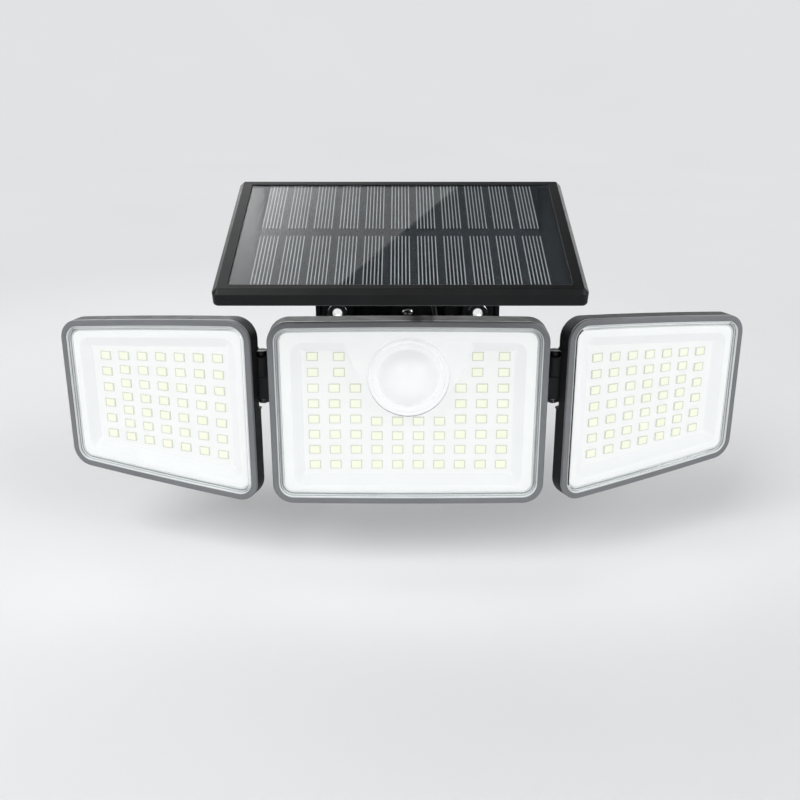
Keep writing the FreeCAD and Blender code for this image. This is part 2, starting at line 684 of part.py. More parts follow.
def rear_cover():
    """Rear cover of the box, with the tilt barrel, its webs and stiffening ribs."""
    plate = rectangle((-BOX_SIDE, BOX_SIDE), (-BOX_BOTTOM, BOX_TOP), BOX_CORNER, BOX_BACK, COVER_BACK)
    plate = plate.makeChamfer(COVER_CHAMFER, rear_edges(plate, COVER_BACK))
    barrel = rod(BARREL_R, (-BARREL_HALF, TILT_SETBACK, TILT_HEIGHT), (1, 0, 0), 2 * BARREL_HALF)
    root_top = TILT_HEIGHT + BARREL_R + BARREL_WEB_TOP
    root_bottom = TILT_HEIGHT - BARREL_R - BARREL_WEB_BOTTOM
    edge = BARREL_R - FUSE
    profile = [(COVER_BACK - FUSE, root_top), (TILT_SETBACK, TILT_HEIGHT + edge),
               (TILT_SETBACK, TILT_HEIGHT - edge), (COVER_BACK - FUSE, root_bottom)]
    webs = []
    for x in (-BARREL_HALF, -BARREL_WEB_T / 2, BARREL_HALF - BARREL_WEB_T):
        points = [vec(x, y, z) for y, z in profile]
        face = Part.Face(Part.makePolygon(points + points[:1]))
        webs.append(face.extrude(vec(BARREL_WEB_T, 0, 0)))
    ribs = []
    for step in range(COVER_RIBS):
        x = (step - (COVER_RIBS - 1) / 2) * COVER_RIB_PITCH
        ribs.append(block((x - COVER_RIB_T / 2, x + COVER_RIB_T / 2),
                          (COVER_BACK - FUSE, COVER_BACK + COVER_RIB_RISE),
                          (-BOX_BOTTOM + COVER_RIB_END, root_bottom - COVER_RIB_END / 2)))
    body = fuse_all([plate, barrel] + webs + ribs)
    cuts = [rod(BOLT_R + PIN_CLEARANCE, (-BARREL_HALF - PROUD, TILT_SETBACK, TILT_HEIGHT), (1, 0, 0),
                2 * (BARREL_HALF + PROUD))]
    seat = COVER_BACK - COVER_SCREW_SINK
    for x, z in COVER_SCREWS:
        cuts.append(rod(COVER_SCREW_R + PIN_CLEARANCE, (x, BOX_BACK - PROUD, z), (0, 1, 0),
                        COVER_T + 2 * PROUD))
        cuts.append(rod(2 * COVER_SCREW_R + SLIP, (x, seat, z), (0, 1, 0), COVER_SCREW_SINK + PROUD))
    return head_place(body.cut(cuts))


def pan_screw(radius, head_r, head_t, length, point, direction):
    """Screw with its head's underside at point; direction runs from head to tip."""
    back = vec(*direction) * -1
    shank = rod(radius, point, direction, length)
    head = rod(head_r, point, (back.x, back.y, back.z), head_t)
    return shank.fuse(head).removeSplitter()


def cover_screws():
    seat = COVER_BACK - COVER_SCREW_SINK
    screws = [pan_screw(COVER_SCREW_R, 2 * COVER_SCREW_R, COVER_SCREW_HEAD_T, COVER_SCREW_LENGTH,
                        (x, seat, z), (0, -1, 0)) for x, z in COVER_SCREWS]
    return head_place(Part.makeCompound(screws))


def head_lens():
    clear = lens(HEAD)
    hole = rod(SENSOR_RING_R + SLIP, (0, -PROUD, DOME_HEIGHT_Z), (0, 1, 0), LENS_BACK + 2 * PROUD)
    return head_place(clear.cut(hole))


def head_reflector():
    """Reflector of the centre head, with the raised V and the seat of the sensor ring."""
    tray = reflector(HEAD, HEAD_FIELD)
    raised = platform(REFLECTOR_FRONT, BOARD_DEPTH - LENS_GAP)
    body = tray.fuse(raised)
    bore = rod(DOME_R - SENSOR_SEAT, (0, -PROUD, DOME_HEIGHT_Z), (0, 1, 0), BOARD_DEPTH + 2 * PROUD)
    return head_place(body.cut(bore).removeSplitter())


def head_led_places():
    """LED places of the centre head: two short rows, two half rows and four full rows."""
    places = []
    columns = [(i + 0.5) * LED_PITCH_X for i in range(5)]
    for row in range(8):
        z = HEAD_LED_TOP - row * LED_PITCH_Z
        if row < 2:
            xs = [HEAD_LED_WIDE, columns[4]]
        elif row < 4:
            xs = columns[2:]
        else:
            xs = columns
        for x in xs:
            drop = HEAD_LED_ROUND[row - 4] if row in (4, 5) and x < columns[2] else 0
            places += [(x, z - drop), (-x, z - drop)]
    return places


def sensor_ring():
    """Stepped ring round the dome, turned about its axis, with a groove."""
    inner, seat = DOME_R + DOME_GAP, REFLECTOR_FRONT
    groove, lip = SENSOR_GROOVE_R, -0.4
    profile = [(inner, seat), (SENSOR_RING_R, seat), (SENSOR_RING_R, 0.6), (SENSOR_RING_R - 0.8, 0),
               (groove + 0.5, 0), (groove, 1.2), (groove - 0.7, 1.2), (groove - 1.1, lip), (inner, lip)]
    points = [vec(r, y, 0) for r, y in profile]
    face = Part.Face(Part.makePolygon(points + points[:1]))
    body = face.revolve(vec(0, 0, 0), vec(0, 1, 0), 360)
    body.translate(vec(0, 0, DOME_HEIGHT_Z))
    return head_place(body)


def sensor_dome():
    """Thin domed lens over the motion sensor, with a foot that stands on the reflector."""
    radius = (DOME_R ** 2 + DOME_RISE ** 2) / (2 * DOME_RISE)
    top = DOME_BASE - DOME_RISE
    ball = Part.makeSphere(radius, vec(0, top + radius, 0))
    hollow = Part.makeSphere(radius - DOME_T, vec(0, top + radius, 0))
    cap = ball.cut(hollow).common(rod(DOME_R, (0, top - PROUD, 0), (0, 1, 0), DOME_RISE + PROUD))
    foot = rod(DOME_R, (0, DOME_BASE, 0), (0, 1, 0), REFLECTOR_FRONT - DOME_BASE)
    foot = foot.cut(rod(DOME_R - DOME_FOOT_T, (0, DOME_BASE - PROUD, 0), (0, 1, 0),
                        REFLECTOR_FRONT + 2 * PROUD))
    body = cap.fuse(foot).removeSplitter()
    body.translate(vec(0, 0, DOME_HEIGHT_Z))
    return head_place(body)


def sensor_can():
    """Metal can of the motion sensor, on the LED board."""
    flange = rod(SENSOR_CAN_R, (0, BOARD_DEPTH - SENSOR_FLANGE, DOME_HEIGHT_Z), (0, 1, 0), SENSOR_FLANGE)
    can = rod(SENSOR_CAN_R - SENSOR_FLANGE, (0, BOARD_DEPTH - SENSOR_CAN_H, DOME_HEIGHT_Z), (0, 1, 0),
              SENSOR_CAN_H)
    return head_place(flange.fuse(can).removeSplitter())


def battery_cells():
    """Two round cells side by side, each with its raised contact."""
    cells = []
    for row in range(2):
        z = CELL_TOP_Z - row * CELL_SPACING
        contact_x = CELL_LENGTH / 2 - CELL_CONTACT_T
        body = rod(CELL_R, (-CELL_LENGTH / 2, CELL_Y, z), (1, 0, 0), CELL_LENGTH - CELL_CONTACT_T)
        nub = rod(CELL_CONTACT_R, (contact_x, CELL_Y, z), (1, 0, 0), CELL_CONTACT_T)
        cells.append(body.fuse(nub).removeSplitter())
    return head_place(Part.makeCompound(cells))


def battery_cradle():
    """Tray between the cells and the rear cover, with a rounded bed for each cell."""
    top = CELL_TOP_Z + CELL_R
    bottom = CELL_TOP_Z - CELL_SPACING - CELL_R
    half = CELL_LENGTH / 2 + CRADLE_END
    bed = block((-half, half), (CELL_Y + CELL_R * CRADLE_BED, BOX_BACK - SLIP), (bottom, top))
    for row in range(2):
        z = CELL_TOP_Z - row * CELL_SPACING
        bed = bed.cut(rod(CELL_R + SLIP, (-CELL_LENGTH / 2 - SLIP, CELL_Y, z), (1, 0, 0),
                          CELL_LENGTH + 2 * SLIP))
    return head_place(bed)


def control_board():
    """Board with its charge and sensor electronics, below the cells."""
    top = -BOX_BOTTOM + WALL + SLIP + CONTROL_H
    y = HEAD_DEPTH + CONTROL_GAP
    face = y + CONTROL_T
    board = block((-CONTROL_W / 2, CONTROL_W / 2), (y, face), (top - CONTROL_H, top))
    chip = block((-CHIP_X - CHIP_W / 2, -CHIP_X + CHIP_W / 2), (face, face + CHIP_T),
                 (top - PART_DROP - CHIP_H / 2, top - PART_DROP + CHIP_H / 2))
    coil = rod(COIL_R, (COIL_X, face, top - PART_DROP), (0, 1, 0), COIL_T)
    return head_place(fuse_all([board, chip, coil]))


def mode_switch():
    """Push switch on the control board, just above the mode button."""
    low = -BOX_BOTTOM + WALL + SWITCH_RISE
    board = HEAD_DEPTH + CONTROL_GAP + CONTROL_T
    body = block((BUTTON_X - SWITCH_W / 2, BUTTON_X + SWITCH_W / 2), (board, BUTTON_Y + SWITCH_REACH),
                 (low, low + SWITCH_H))
    return head_place(body)


def mode_button():
    """Mode button in the underside of the box, held in by its flange."""
    inside = -BOX_BOTTOM + WALL
    low = -BOX_BOTTOM - BUTTON_COLLAR_T - BUTTON_STAND
    flange_low = inside + BUTTON_GAP
    tip_low = flange_low + BUTTON_FLANGE - FUSE
    tip_high = inside + SWITCH_RISE - BUTTON_TRAVEL
    stem = rod(BUTTON_R, (BUTTON_X, BUTTON_Y, low), (0, 0, 1), flange_low - low)
    stem = stem.makeFillet(BUTTON_ROUND, [e for e in stem.Edges if e.BoundBox.ZMax < low + FUSE])
    flange = rod(BUTTON_R + BUTTON_FLANGE, (BUTTON_X, BUTTON_Y, flange_low), (0, 0, 1), BUTTON_FLANGE)
    tip = rod(BUTTON_TIP_R, (BUTTON_X, BUTTON_Y, tip_low), (0, 0, 1), tip_high - tip_low)
    return head_place(fuse_all([stem, flange, tip]))


# ---------------------------------------------------------------- wings
def wing_field(side):
    """Light field of a wing: the wing's outline moved inwards by the margin."""
    rim = wing_outline(side)
    slope = (rim.height_right - rim.height_left) / 2 / rim.width
    half = rim.width / 2 - WING_FIELD_MARGIN
    mean = (rim.height_left + rim.height_right) / 4 - WING_FIELD_MARGIN
    return Outline(2 * half, 2 * (mean - slope * half), 2 * (mean + slope * half), FIELD_CORNER, 0.05)


def wing_pad_outline(outline):
    """Outline of the raised back: the wing's outline moved inwards, with its own corners."""
    scale = 1 - 2 * PAD_INSET / outline.width
    left, right = outline.height_left - 2 * PAD_INSET, outline.height_right - 2 * PAD_INSET
    return Outline(outline.width * scale, left, right, PAD_CORNER, 0.05)


def wing_led_places(side):
    """LED places of a wing: seven columns that fan out towards the hinge."""
    places = []
    for column in range(7):
        x = (column - 3) * WING_LED_PITCH_X
        rows = 6 if column == 6 else 7
        fan = 1 - WING_LED_FAN * x
        span = 6 * WING_LED_PITCH_Z
        for row in range(rows):
            z = (WING_LED_TOP - row * span / (rows - 1)) * fan
            places.append((side * x, z))
    return places


def wing_housing(side):
    """Moulded wing housing with a ribbed back, its hinge lug and the well of the other lug."""
    outline = wing_outline(side)
    body = shell(outline, WING_DEPTH)
    pad_back = WING_DEPTH + PAD_RISE
    pad = slab(wing_pad_outline(outline), 0, WING_DEPTH - FUSE, pad_back)
    pad = pad.makeChamfer(PAD_RISE / 2, rear_edges(pad, pad_back))
    ribs = []
    rib_half = WING_OUTER_HEIGHT / 2 - PAD_INSET - PAD_RISE / 2 - PAD_RIB_END
    for step in range(PAD_RIBS):
        x = (step - (PAD_RIBS - 1) / 2) * PAD_RIB_PITCH
        ribs.append(block((x - PAD_RIB_T / 2, x + PAD_RIB_T / 2),
                          (pad_back - FUSE, pad_back + PAD_RIB_RISE), (-rib_half, rib_half)))
    post_x = WING_WIDTH / 2 - WING_POST_SIDE
    mean_half = (WING_INNER_HEIGHT + WING_OUTER_HEIGHT) / 4
    corner_z, middle_z = mean_half - WING_POST_CORNER, mean_half - WING_POST_MIDDLE
    places = [(x, z) for x in (-post_x, post_x) for z in (-corner_z, corner_z)]
    places += [(0, -middle_z), (0, middle_z)]
    body = body.fuse([pad] + ribs + board_posts(places, WING_DEPTH))
    axis = vec(-side * HINGE_TO_WING, HINGE_SETBACK, 0)
    sleeve_r = LUG_R + LUG_RELIEF + SLEEVE_T
    sleeve = fold_well(sleeve_r, (WELL_LOW - SLEEVE_T, WELL_HIGH + SLEEVE_T))
    sleeve.translate(axis)
    sleeve = sleeve.common(slab(outline, FUSE, FRAME_FACE + PART_LINE + PROUD, WING_DEPTH - FUSE))
    well = fold_well(LUG_R + LUG_RELIEF, (WELL_LOW, WELL_HIGH))
    well.translate(axis)
    body = body.fuse(sleeve).cut(well)
    arm = lug(side, 1, (WING_LUG_BOTTOM, WING_LUG_TOP), LUG_R + LUG_NECK)
    arm.translate(axis)
    inside = slab(outline, WALL, FRAME_FACE, WING_DEPTH - FLOOR)
    sleeve_space = fold_well(sleeve_r, (WELL_LOW, WELL_HIGH))
    sleeve_space.translate(axis)
    arm = arm.cut(inside.cut(sleeve_space))
    bore = rod(FOLD_BOLT_R + PIN_CLEARANCE, (axis.x, axis.y, WELL_LOW), (0, 0, 1), WELL_HIGH - WELL_LOW)
    return wing_place(body.fuse(arm).cut(bore).removeSplitter(), side)


def fold_bolt(side):
    """Vertical bolt of a fold hinge, its head above the wing's lug."""
    top = WING_LUG_TOP + JOINT_GAP / 2
    tip = HEAD_LUG_BOTTOM - WASHER_T - FOLD_NUT_T - FOLD_TAIL
    head_top = top + FOLD_HEAD_T
    shank = rod(FOLD_BOLT_R, (0, 0, tip), (0, 0, 1), top - tip)
    head = rod(FOLD_HEAD_R, (0, 0, top), (0, 0, 1), FOLD_HEAD_T)
    head = head.makeFillet(FOLD_ROUND, [e for e in head.Edges if e.BoundBox.ZMin > head_top - SLIP])
    slot = block((-FOLD_HEAD_R, FOLD_HEAD_R), (-FOLD_SLOT_W / 2, FOLD_SLOT_W / 2),
                 (head_top - SLOT_DEPTH, head_top + PROUD))
    body = shank.fuse(head).removeSplitter().cut(slot)
    body.translate(vec(side * FOLD_X, HINGE_SETBACK, 0))
    return head_place(body)


def fold_nuts():
    """Washer and nut under the head's lug of each fold hinge."""
    pieces = []
    bore = FOLD_BOLT_R + PIN_CLEARANCE
    for side in (-1, 1):
        x, y = side * FOLD_X, HINGE_SETBACK
        washer = rod(FOLD_NUT_R, (x, y, HEAD_LUG_BOTTOM - WASHER_T), (0, 0, 1), WASHER_T)
        nut = hexagon(FOLD_NUT_R, (x, y, HEAD_LUG_BOTTOM - WASHER_T - FOLD_NUT_T), (0, 0, 1), FOLD_NUT_T)
        hole = rod(bore, (x, y, WELL_LOW), (0, 0, 1), HEAD_LUG_BOTTOM - WELL_LOW)
        pieces += [washer.cut(hole), nut.cut(hole)]
    return head_place(Part.makeCompound(pieces))


# ---------------------------------------------------------------- wall bracket and arm
def wall_bracket():
    """Wall plate with hole bosses and the two cheeks that hold the head's barrel."""
    half = PLATE_WIDTH / 2
    plate = rectangle((-half, half), (-PLATE_BOTTOM, PLATE_TOP), PLATE_CORNER, -PLATE_T, 0)
    pocket = rectangle((-half + PLATE_RIM, half - PLATE_RIM),
                       (-PLATE_BOTTOM + PLATE_RIM, PLATE_TOP - PLATE_RIM),
                       PLATE_CORNER - PLATE_RIM, -PLATE_T - PROUD, -PLATE_T + PLATE_POCKET)
    plate = plate.cut(pocket)
    boss_front = -PLATE_T - HOLE_BOSS_T
    parts = [plate]
    for side in (-1, 1):
        x = side * HOLE_SPACING / 2
        parts.append(rod(HOLE_BOSS_R, (x, boss_front, 0), (0, 1, 0), -boss_front))
        parts.append(cheek(side))
    pad_half = FOOT_WIDTH / 2 + FOOT_PAD
    parts.append(block((-pad_half, pad_half), (-PLATE_T, -PLATE_T + FOOT_PAD_T),
                       (-FOOT_BOTTOM - FOOT_PAD, FOOT_TOP)))
    body = fuse_all(parts)
    cuts = []
    for side in (-1, 1):
        x = side * HOLE_SPACING / 2
        cuts.append(rod(FERRULE_R + FERRULE_FIT, (x, boss_front - PROUD, 0), (0, 1, 0),
                        2 * PROUD - boss_front))
        cuts.append(rod(FERRULE_FLANGE_R + FERRULE_GAP, (x, boss_front - PROUD, 0), (0, 1, 0),
                        PROUD + FERRULE_SINK))
    cuts.append(rod(BOLT_R + PIN_CLEARANCE, (-CHEEK_SPREAD, TILT_Y, TILT_Z), (1, 0, 0), 2 * CHEEK_SPREAD))
    for x, z in FOOT_SCREWS:
        cuts.append(rod(FOOT_SCREW_R + PIN_CLEARANCE, (x, -PLATE_T - PROUD, z), (0, 1, 0),
                        PLATE_T + PROUD - FOOT_SCREW_STOP / 2))
    return body.cut(cuts)


def cheek(side):
    """Tapered cheek from the wall plate to a round end about the tilt axis."""
    x = side * CHEEK_SPREAD / 2
    root_y = -PLATE_T + PLATE_POCKET + FUSE
    corners = [(root_y, CHEEK_ROOT_TOP), (TILT_Y, TILT_Z + CHEEK_R), (TILT_Y, TILT_Z - CHEEK_R),
               (root_y, -CHEEK_ROOT_BOTTOM)]
    points = [vec(x, y, z) for y, z in corners]
    web = Part.Face(Part.makePolygon(points + points[:1])).extrude(vec(-side * CHEEK_T, 0, 0))
    end = rod(CHEEK_R, (x, TILT_Y, TILT_Z), (-side, 0, 0), CHEEK_T)
    reach, width, thickness = CHEEK_BRACE
    low = -CHEEK_BRACE_DROP
    gusset = [vec(x, root_y, low), vec(x, root_y - reach, low), vec(x + side * width, root_y, low)]
    brace = Part.Face(Part.makePolygon(gusset + gusset[:1])).extrude(vec(0, 0, thickness))
    return fuse_all([web, end, brace])


def hole_ferrules():
    """Flanged metal ferrules that line the two wall holes."""
    front = -PLATE_T - HOLE_BOSS_T + FERRULE_SINK
    pieces = []
    for side in (-1, 1):
        x = side * HOLE_SPACING / 2
        tube = rod(FERRULE_R, (x, front, 0), (0, 1, 0), -front)
        flange = rod(FERRULE_FLANGE_R, (x, front - FERRULE_FLANGE_T, 0), (0, 1, 0), FERRULE_FLANGE_T)
        bore_front = front - FERRULE_FLANGE_T - PROUD
        bore = rod(FERRULE_BORE_R, (x, bore_front, 0), (0, 1, 0), PROUD - bore_front)
        pieces.append(tube.fuse(flange).removeSplitter().cut(bore))
    return Part.makeCompound(pieces)


def panel_arm():
    """Arm from the wall plate to the panel's knuckle: a foot, a pocketed web and an ear."""
    foot_front = -PLATE_T - FOOT_T
    foot = rectangle((-FOOT_WIDTH / 2, FOOT_WIDTH / 2), (-FOOT_BOTTOM, FOOT_TOP), FOOT_CORNER,
                     foot_front, -PLATE_T)
    ear_y, ear_z = -PANEL_AXIS_Y, PANEL_AXIS_Z
    x0 = EAR_INNER
    ear = rod(EAR_R, (x0, ear_y, ear_z), (1, 0, 0), EAR_T)
    web = arm_web(x0, EAR_T, 0.0, foot_front + PROUD)
    pocket = arm_web(x0 + EAR_T - ARM_POCKET, ARM_POCKET + PROUD, ARM_BORDER, foot_front - PROUD)
    pocket = pocket.cut(rod(EAR_R + PROUD, (x0, ear_y, ear_z), (1, 0, 0), EAR_T + 2 * PROUD))
    rib_w, rib_reach, rib_h = ARM_RIB
    root_y, low, high = foot_front + FUSE, ARM_RIB_LOW, ARM_RIB_LOW + rib_h
    corners = [vec(-rib_w, root_y, low), vec(-rib_w, foot_front - rib_reach, high),
               vec(-rib_w, root_y, high)]
    rib = Part.Face(Part.makePolygon(corners + corners[:1])).extrude(vec(rib_w + 2 * x0, 0, 0))
    body = fuse_all([foot, ear, web, rib]).cut(pocket).fuse(lead_clip())
    cuts = [rod(BOLT_R + PIN_CLEARANCE, (x0 - PROUD, ear_y, ear_z), (1, 0, 0), EAR_T + 2 * PROUD)]
    for x, z in FOOT_SCREWS:
        cuts.append(rod(FOOT_SCREW_R + PIN_CLEARANCE, (x, foot_front - PROUD, z), (0, 1, 0),
                        FOOT_T + 2 * PROUD))
        cuts.append(rod(FOOT_SCREW_HEAD_R + 2 * SLIP, (x, foot_front, z), (0, -1, 0), rib_reach + FOOT_T))
    return body.cut(cuts)


def lead_clip():
    """Open clip on the arm's side that holds the lead where its two stretches meet."""
    end = vec(*UPPER_LEAD[-1])
    along = (end - vec(*UPPER_LEAD[-2])).normalize()
    start = end - along * (CLIP_LENGTH / 2)
    stem_x = EAR_INNER + EAR_T - ARM_POCKET - JOINT_GAP
    half = CLIP_R * CLIP_STEM
    stem = block((stem_x, end.x), (-half, half), (0, CLIP_LENGTH))
    slit = block((end.x, end.x + 2 * CLIP_R), (-CLIP_SLIT / 2, CLIP_SLIT / 2),
                 (-PROUD, CLIP_LENGTH + PROUD))
    lean = math.degrees(math.atan2(-along.y, along.z))
    for piece in (stem, slit):
        piece.rotate(vec(0, 0, 0), vec(1, 0, 0), lean)
        piece.translate(vec(0, start.y, start.z))
    ring_body = rod(CLIP_R, tuple(start), tuple(along), CLIP_LENGTH)
    hole = rod(LEAD_R + CLIP_FIT, tuple(start - along * PROUD), tuple(along), CLIP_LENGTH + 2 * PROUD)
    return ring_body.fuse(stem).cut([slit, hole])


def arm_web(x, thickness, border, root_y):
    """Curved web of the arm between its foot and the ear, moved inwards by a border."""
    ear_y, ear_z = -PANEL_AXIS_Y, PANEL_AXIS_Z
    reach = EAR_R - border
    top_root = vec(x, root_y, ARM_ROOT_TOP - border)
    low_root = vec(x, root_y, ARM_ROOT_BOTTOM + border)
    top_ear = vec(x, ear_y + reach * 0.35, ear_z + reach * 0.93)
    low_ear = vec(x, ear_y - reach * 0.35, ear_z - reach * 0.93)
    bow = vec(0, *ARM_BOW)
    top_mid = (top_root + top_ear) * 0.5 + bow
    low_mid = (low_root + low_ear) * 0.5 + bow
    edges = [Part.Arc(top_root, top_mid, top_ear).toShape(), Part.makeLine(top_ear, low_ear),
             Part.Arc(low_ear, low_mid, low_root).toShape(), Part.makeLine(low_root, top_root)]
    return Part.Face(Part.Wire(edges)).extrude(vec(thickness, 0, 0))


def arm_screws():
    front = -PLATE_T - FOOT_T
    length = FOOT_T + PLATE_T - FOOT_SCREW_STOP
    screws = [pan_screw(FOOT_SCREW_R, FOOT_SCREW_HEAD_R, FOOT_SCREW_HEAD_T, length, (x, front, z),
                        (0, 1, 0)) for x, z in FOOT_SCREWS]
    return Part.makeCompound(screws)


def cross_bolt(x_head, x_tip, y, z):
    """Bolt along X with a domed, slotted head at x_head and its tip at x_tip."""
    side = 1 if x_tip > x_head else -1
    shank = rod(BOLT_R, (x_head, y, z), (side, 0, 0), abs(x_tip - x_head))
    head = rod(BOLT_HEAD_R, (x_head, y, z), (-side, 0, 0), BOLT_HEAD_T)
    face_x = x_head - side * BOLT_HEAD_T
    outer = [e for e in head.Edges if abs(e.BoundBox.Center.x - face_x) < 0.01]
    head = head.makeFillet(BOLT_ROUND, outer)
    slot = block((face_x - SLOT_DEPTH, face_x + SLOT_DEPTH), (y - SLOT_W / 2, y + SLOT_W / 2),
                 (z - BOLT_HEAD_R, z + BOLT_HEAD_R))
    return shank.fuse(head).removeSplitter().cut(slot)


def cross_nut(x, side, y, z):
    """Washer and nut along X, on the face at x, on its outer side."""
    bore = BOLT_R + PIN_CLEARANCE
    washer = rod(NUT_R + WASHER_RIM, (x, y, z), (side, 0, 0), WASHER_T)
    nut = hexagon(NUT_R, (x + side * WASHER_T, y, z), (side, 0, 0), NUT_T)
    hole = rod(bore, (x - side * PROUD, y, z), (side, 0, 0), NUT_T + WASHER_T + 2 * PROUD)
    return [washer.cut(hole), nut.cut(hole)]


def tilt_bolt():
    half = CHEEK_SPREAD / 2
    return cross_bolt(-half, half + WASHER_T + NUT_T + BOLT_TAIL, TILT_Y, TILT_Z)


def tilt_nut():
    return Part.makeCompound(cross_nut(CHEEK_SPREAD / 2, 1, TILT_Y, TILT_Z))


def panel_bolt():
    head_x = EAR_INNER + EAR_T
    tip = -(head_x + JOINT_GAP / 2 + WASHER_T + NUT_T + BOLT_TAIL)
    return cross_bolt(head_x, tip, -PANEL_AXIS_Y, PANEL_AXIS_Z)


def panel_nut():
    x = -(EAR_INNER + EAR_T + JOINT_GAP / 2)
    return Part.makeCompound(cross_nut(x, -1, -PANEL_AXIS_Y, PANEL_AXIS_Z))


# ---------------------------------------------------------------- solar panel (own frame)
PANEL_SCREWS = [(side * (PANEL_WIDTH / 2 - PANEL_SCREW_INSET), y) for side in (-1, 1)
                for y in (PANEL_SCREW_INSET - PANEL_LENGTH / 2, 0, PANEL_LENGTH / 2 - PANEL_SCREW_INSET)]


def flat_plate(width, length, radius, low, high):
    """Rounded plate of the panel, in its plane."""
    plate = block((-width / 2, width / 2), (-length / 2, length / 2), (low, high))
    return plate.makeFillet(radius, edges_along(plate, vec(0, 0, 1), high - low))


def panel_frame():
    """Bevelled tray of the panel with the seat of the laminate and open from below."""
    body = flat_plate(PANEL_WIDTH, PANEL_LENGTH, PANEL_CORNER, UNDERSIDE, TOP_FACE)
    body = body.makeChamfer(PANEL_BEVEL, [e for e in body.Edges if e.BoundBox.ZMin > TOP_FACE - SLIP])
    low_edges = [e for e in body.Edges if e.BoundBox.ZMax < UNDERSIDE + SLIP]
    body = body.makeFillet(PANEL_FOOT_ROUND, low_edges)
    body = body.cut(flat_plate(RECESS_WIDTH, RECESS_LENGTH, RECESS_CORNER, SEAT, TOP_FACE + PROUD))
    inner_w, inner_l = PANEL_WIDTH - 2 * PANEL_WALL, PANEL_LENGTH - 2 * PANEL_WALL
    shelf = SEAT - PANEL_SHELF
    body = body.cut(flat_plate(inner_w, inner_l, RECESS_CORNER + FUSE, UNDERSIDE - PROUD, shelf))
    post_low = UNDERSIDE + BACK_COVER_T
    posts = [rod(PANEL_POST_R, (x, y, post_low), (0, 0, 1), shelf + FUSE - post_low)
             for x, y in PANEL_SCREWS]
    body = body.fuse(posts).removeSplitter()
    holes = [rod(PANEL_SCREW_R + SLIP, (x, y, UNDERSIDE), (0, 0, 1), PANEL_SCREW_LENGTH + FUSE)
             for x, y in PANEL_SCREWS]
    return panel_place(body.cut(holes))


def solar_backing():
    width, length = RECESS_WIDTH - 2 * SLIP, RECESS_LENGTH - 2 * SLIP
    return panel_place(flat_plate(width, length, RECESS_CORNER - SLIP, SEAT, BACKING_TOP))


def solar_cells():
    """Cell strips in columns and rows on the backing."""
    pitch_x = CELL_FIELD_WIDTH / CELL_COLUMNS
    pitch_y = (CELL_FIELD_LENGTH + CELL_GAP_Y) / CELL_ROWS
    strips = []
    for column in range(CELL_COLUMNS):
        x = (column - (CELL_COLUMNS - 1) / 2) * pitch_x
        for row in range(CELL_ROWS):
            y = (row - (CELL_ROWS - 1) / 2) * pitch_y
            half_x, half_y = (pitch_x - CELL_GAP_X) / 2, (pitch_y - CELL_GAP_Y) / 2
            strips.append(block((x - half_x, x + half_x), (y - half_y, y + half_y),
                                (BACKING_TOP, CELL_TOP)))
    return panel_place(Part.makeCompound(strips))


def solar_cover():
    """Clear cover over the cells, resting on a narrow lip round the backing."""
    width, length = RECESS_WIDTH - 2 * SLIP, RECESS_LENGTH - 2 * SLIP
    cover = flat_plate(width, length, RECESS_CORNER - SLIP, BACKING_TOP, COVER_TOP)
    room = block((-CELL_FIELD_WIDTH / 2, CELL_FIELD_WIDTH / 2),
                 (-CELL_FIELD_LENGTH / 2, CELL_FIELD_LENGTH / 2), (BACKING_TOP - PROUD, CELL_TOP))
    return panel_place(cover.cut(room))


def panel_back_cover():
    """Back cover of the panel, with its knuckle ear, ribs and the gland's boss."""
    inset = 2 * (PANEL_WALL + SLIP)
    plate = flat_plate(PANEL_WIDTH - inset, PANEL_LENGTH - inset, RECESS_CORNER + FUSE - SLIP,
                       UNDERSIDE, UNDERSIDE + BACK_COVER_T)
    ear = rod(EAR_R, (-EAR_T / 2, 0, 0), (1, 0, 0), EAR_T)
    spread = EAR_R + KNUCKLE_SPREAD
    side = EAR_R * 0.95
    corners = [vec(-EAR_T / 2, y, z) for y, z in ((-side, 2), (side, 2), (spread, UNDERSIDE + FUSE),
                                                   (-spread, UNDERSIDE + FUSE))]
    web = Part.Face(Part.makePolygon(corners + corners[:1])).extrude(vec(EAR_T, 0, 0))
    pad_x, pad_y, pad_rise = KNUCKLE_PAD
    pad = block((-pad_x, pad_x), (-pad_y, pad_y), (UNDERSIDE - pad_rise, UNDERSIDE + FUSE))
    pad = pad.makeFillet(KNUCKLE_PAD_CORNER, edges_along(pad, vec(0, 0, 1), pad_rise + FUSE))
    ribs = []
    rib_half = PANEL_LENGTH / 2 - BACK_RIB_END
    for step in range(BACK_RIBS):
        for x in (-BACK_RIB_FIRST - step * BACK_RIB_PITCH, BACK_RIB_FIRST + step * BACK_RIB_PITCH):
            ribs.append(block((x - BACK_RIB_T / 2, x + BACK_RIB_T / 2), (-rib_half, rib_half),
                              (UNDERSIDE - BACK_RIB_RISE, UNDERSIDE + FUSE)))
    body = fuse_all([plate, ear, web, pad] + ribs)
    through = BACK_COVER_T + 2 * PROUD
    cuts = [rod(BOLT_R + PIN_CLEARANCE, (-EAR_T, 0, 0), (1, 0, 0), 2 * EAR_T)]
    for x, y in PANEL_SCREWS:
        cuts.append(rod(PANEL_SCREW_R + SLIP, (x, y, UNDERSIDE - PROUD), (0, 0, 1), through))
    gland_x, gland_y = panel_gland_point()
    gland_low = UNDERSIDE - pad_rise - PROUD
    cuts.append(rod(GLAND_STEM_R + SLIP, (gland_x, gland_y, gland_low), (0, 0, 1), through + pad_rise))
    return panel_place(body.cut(cuts))


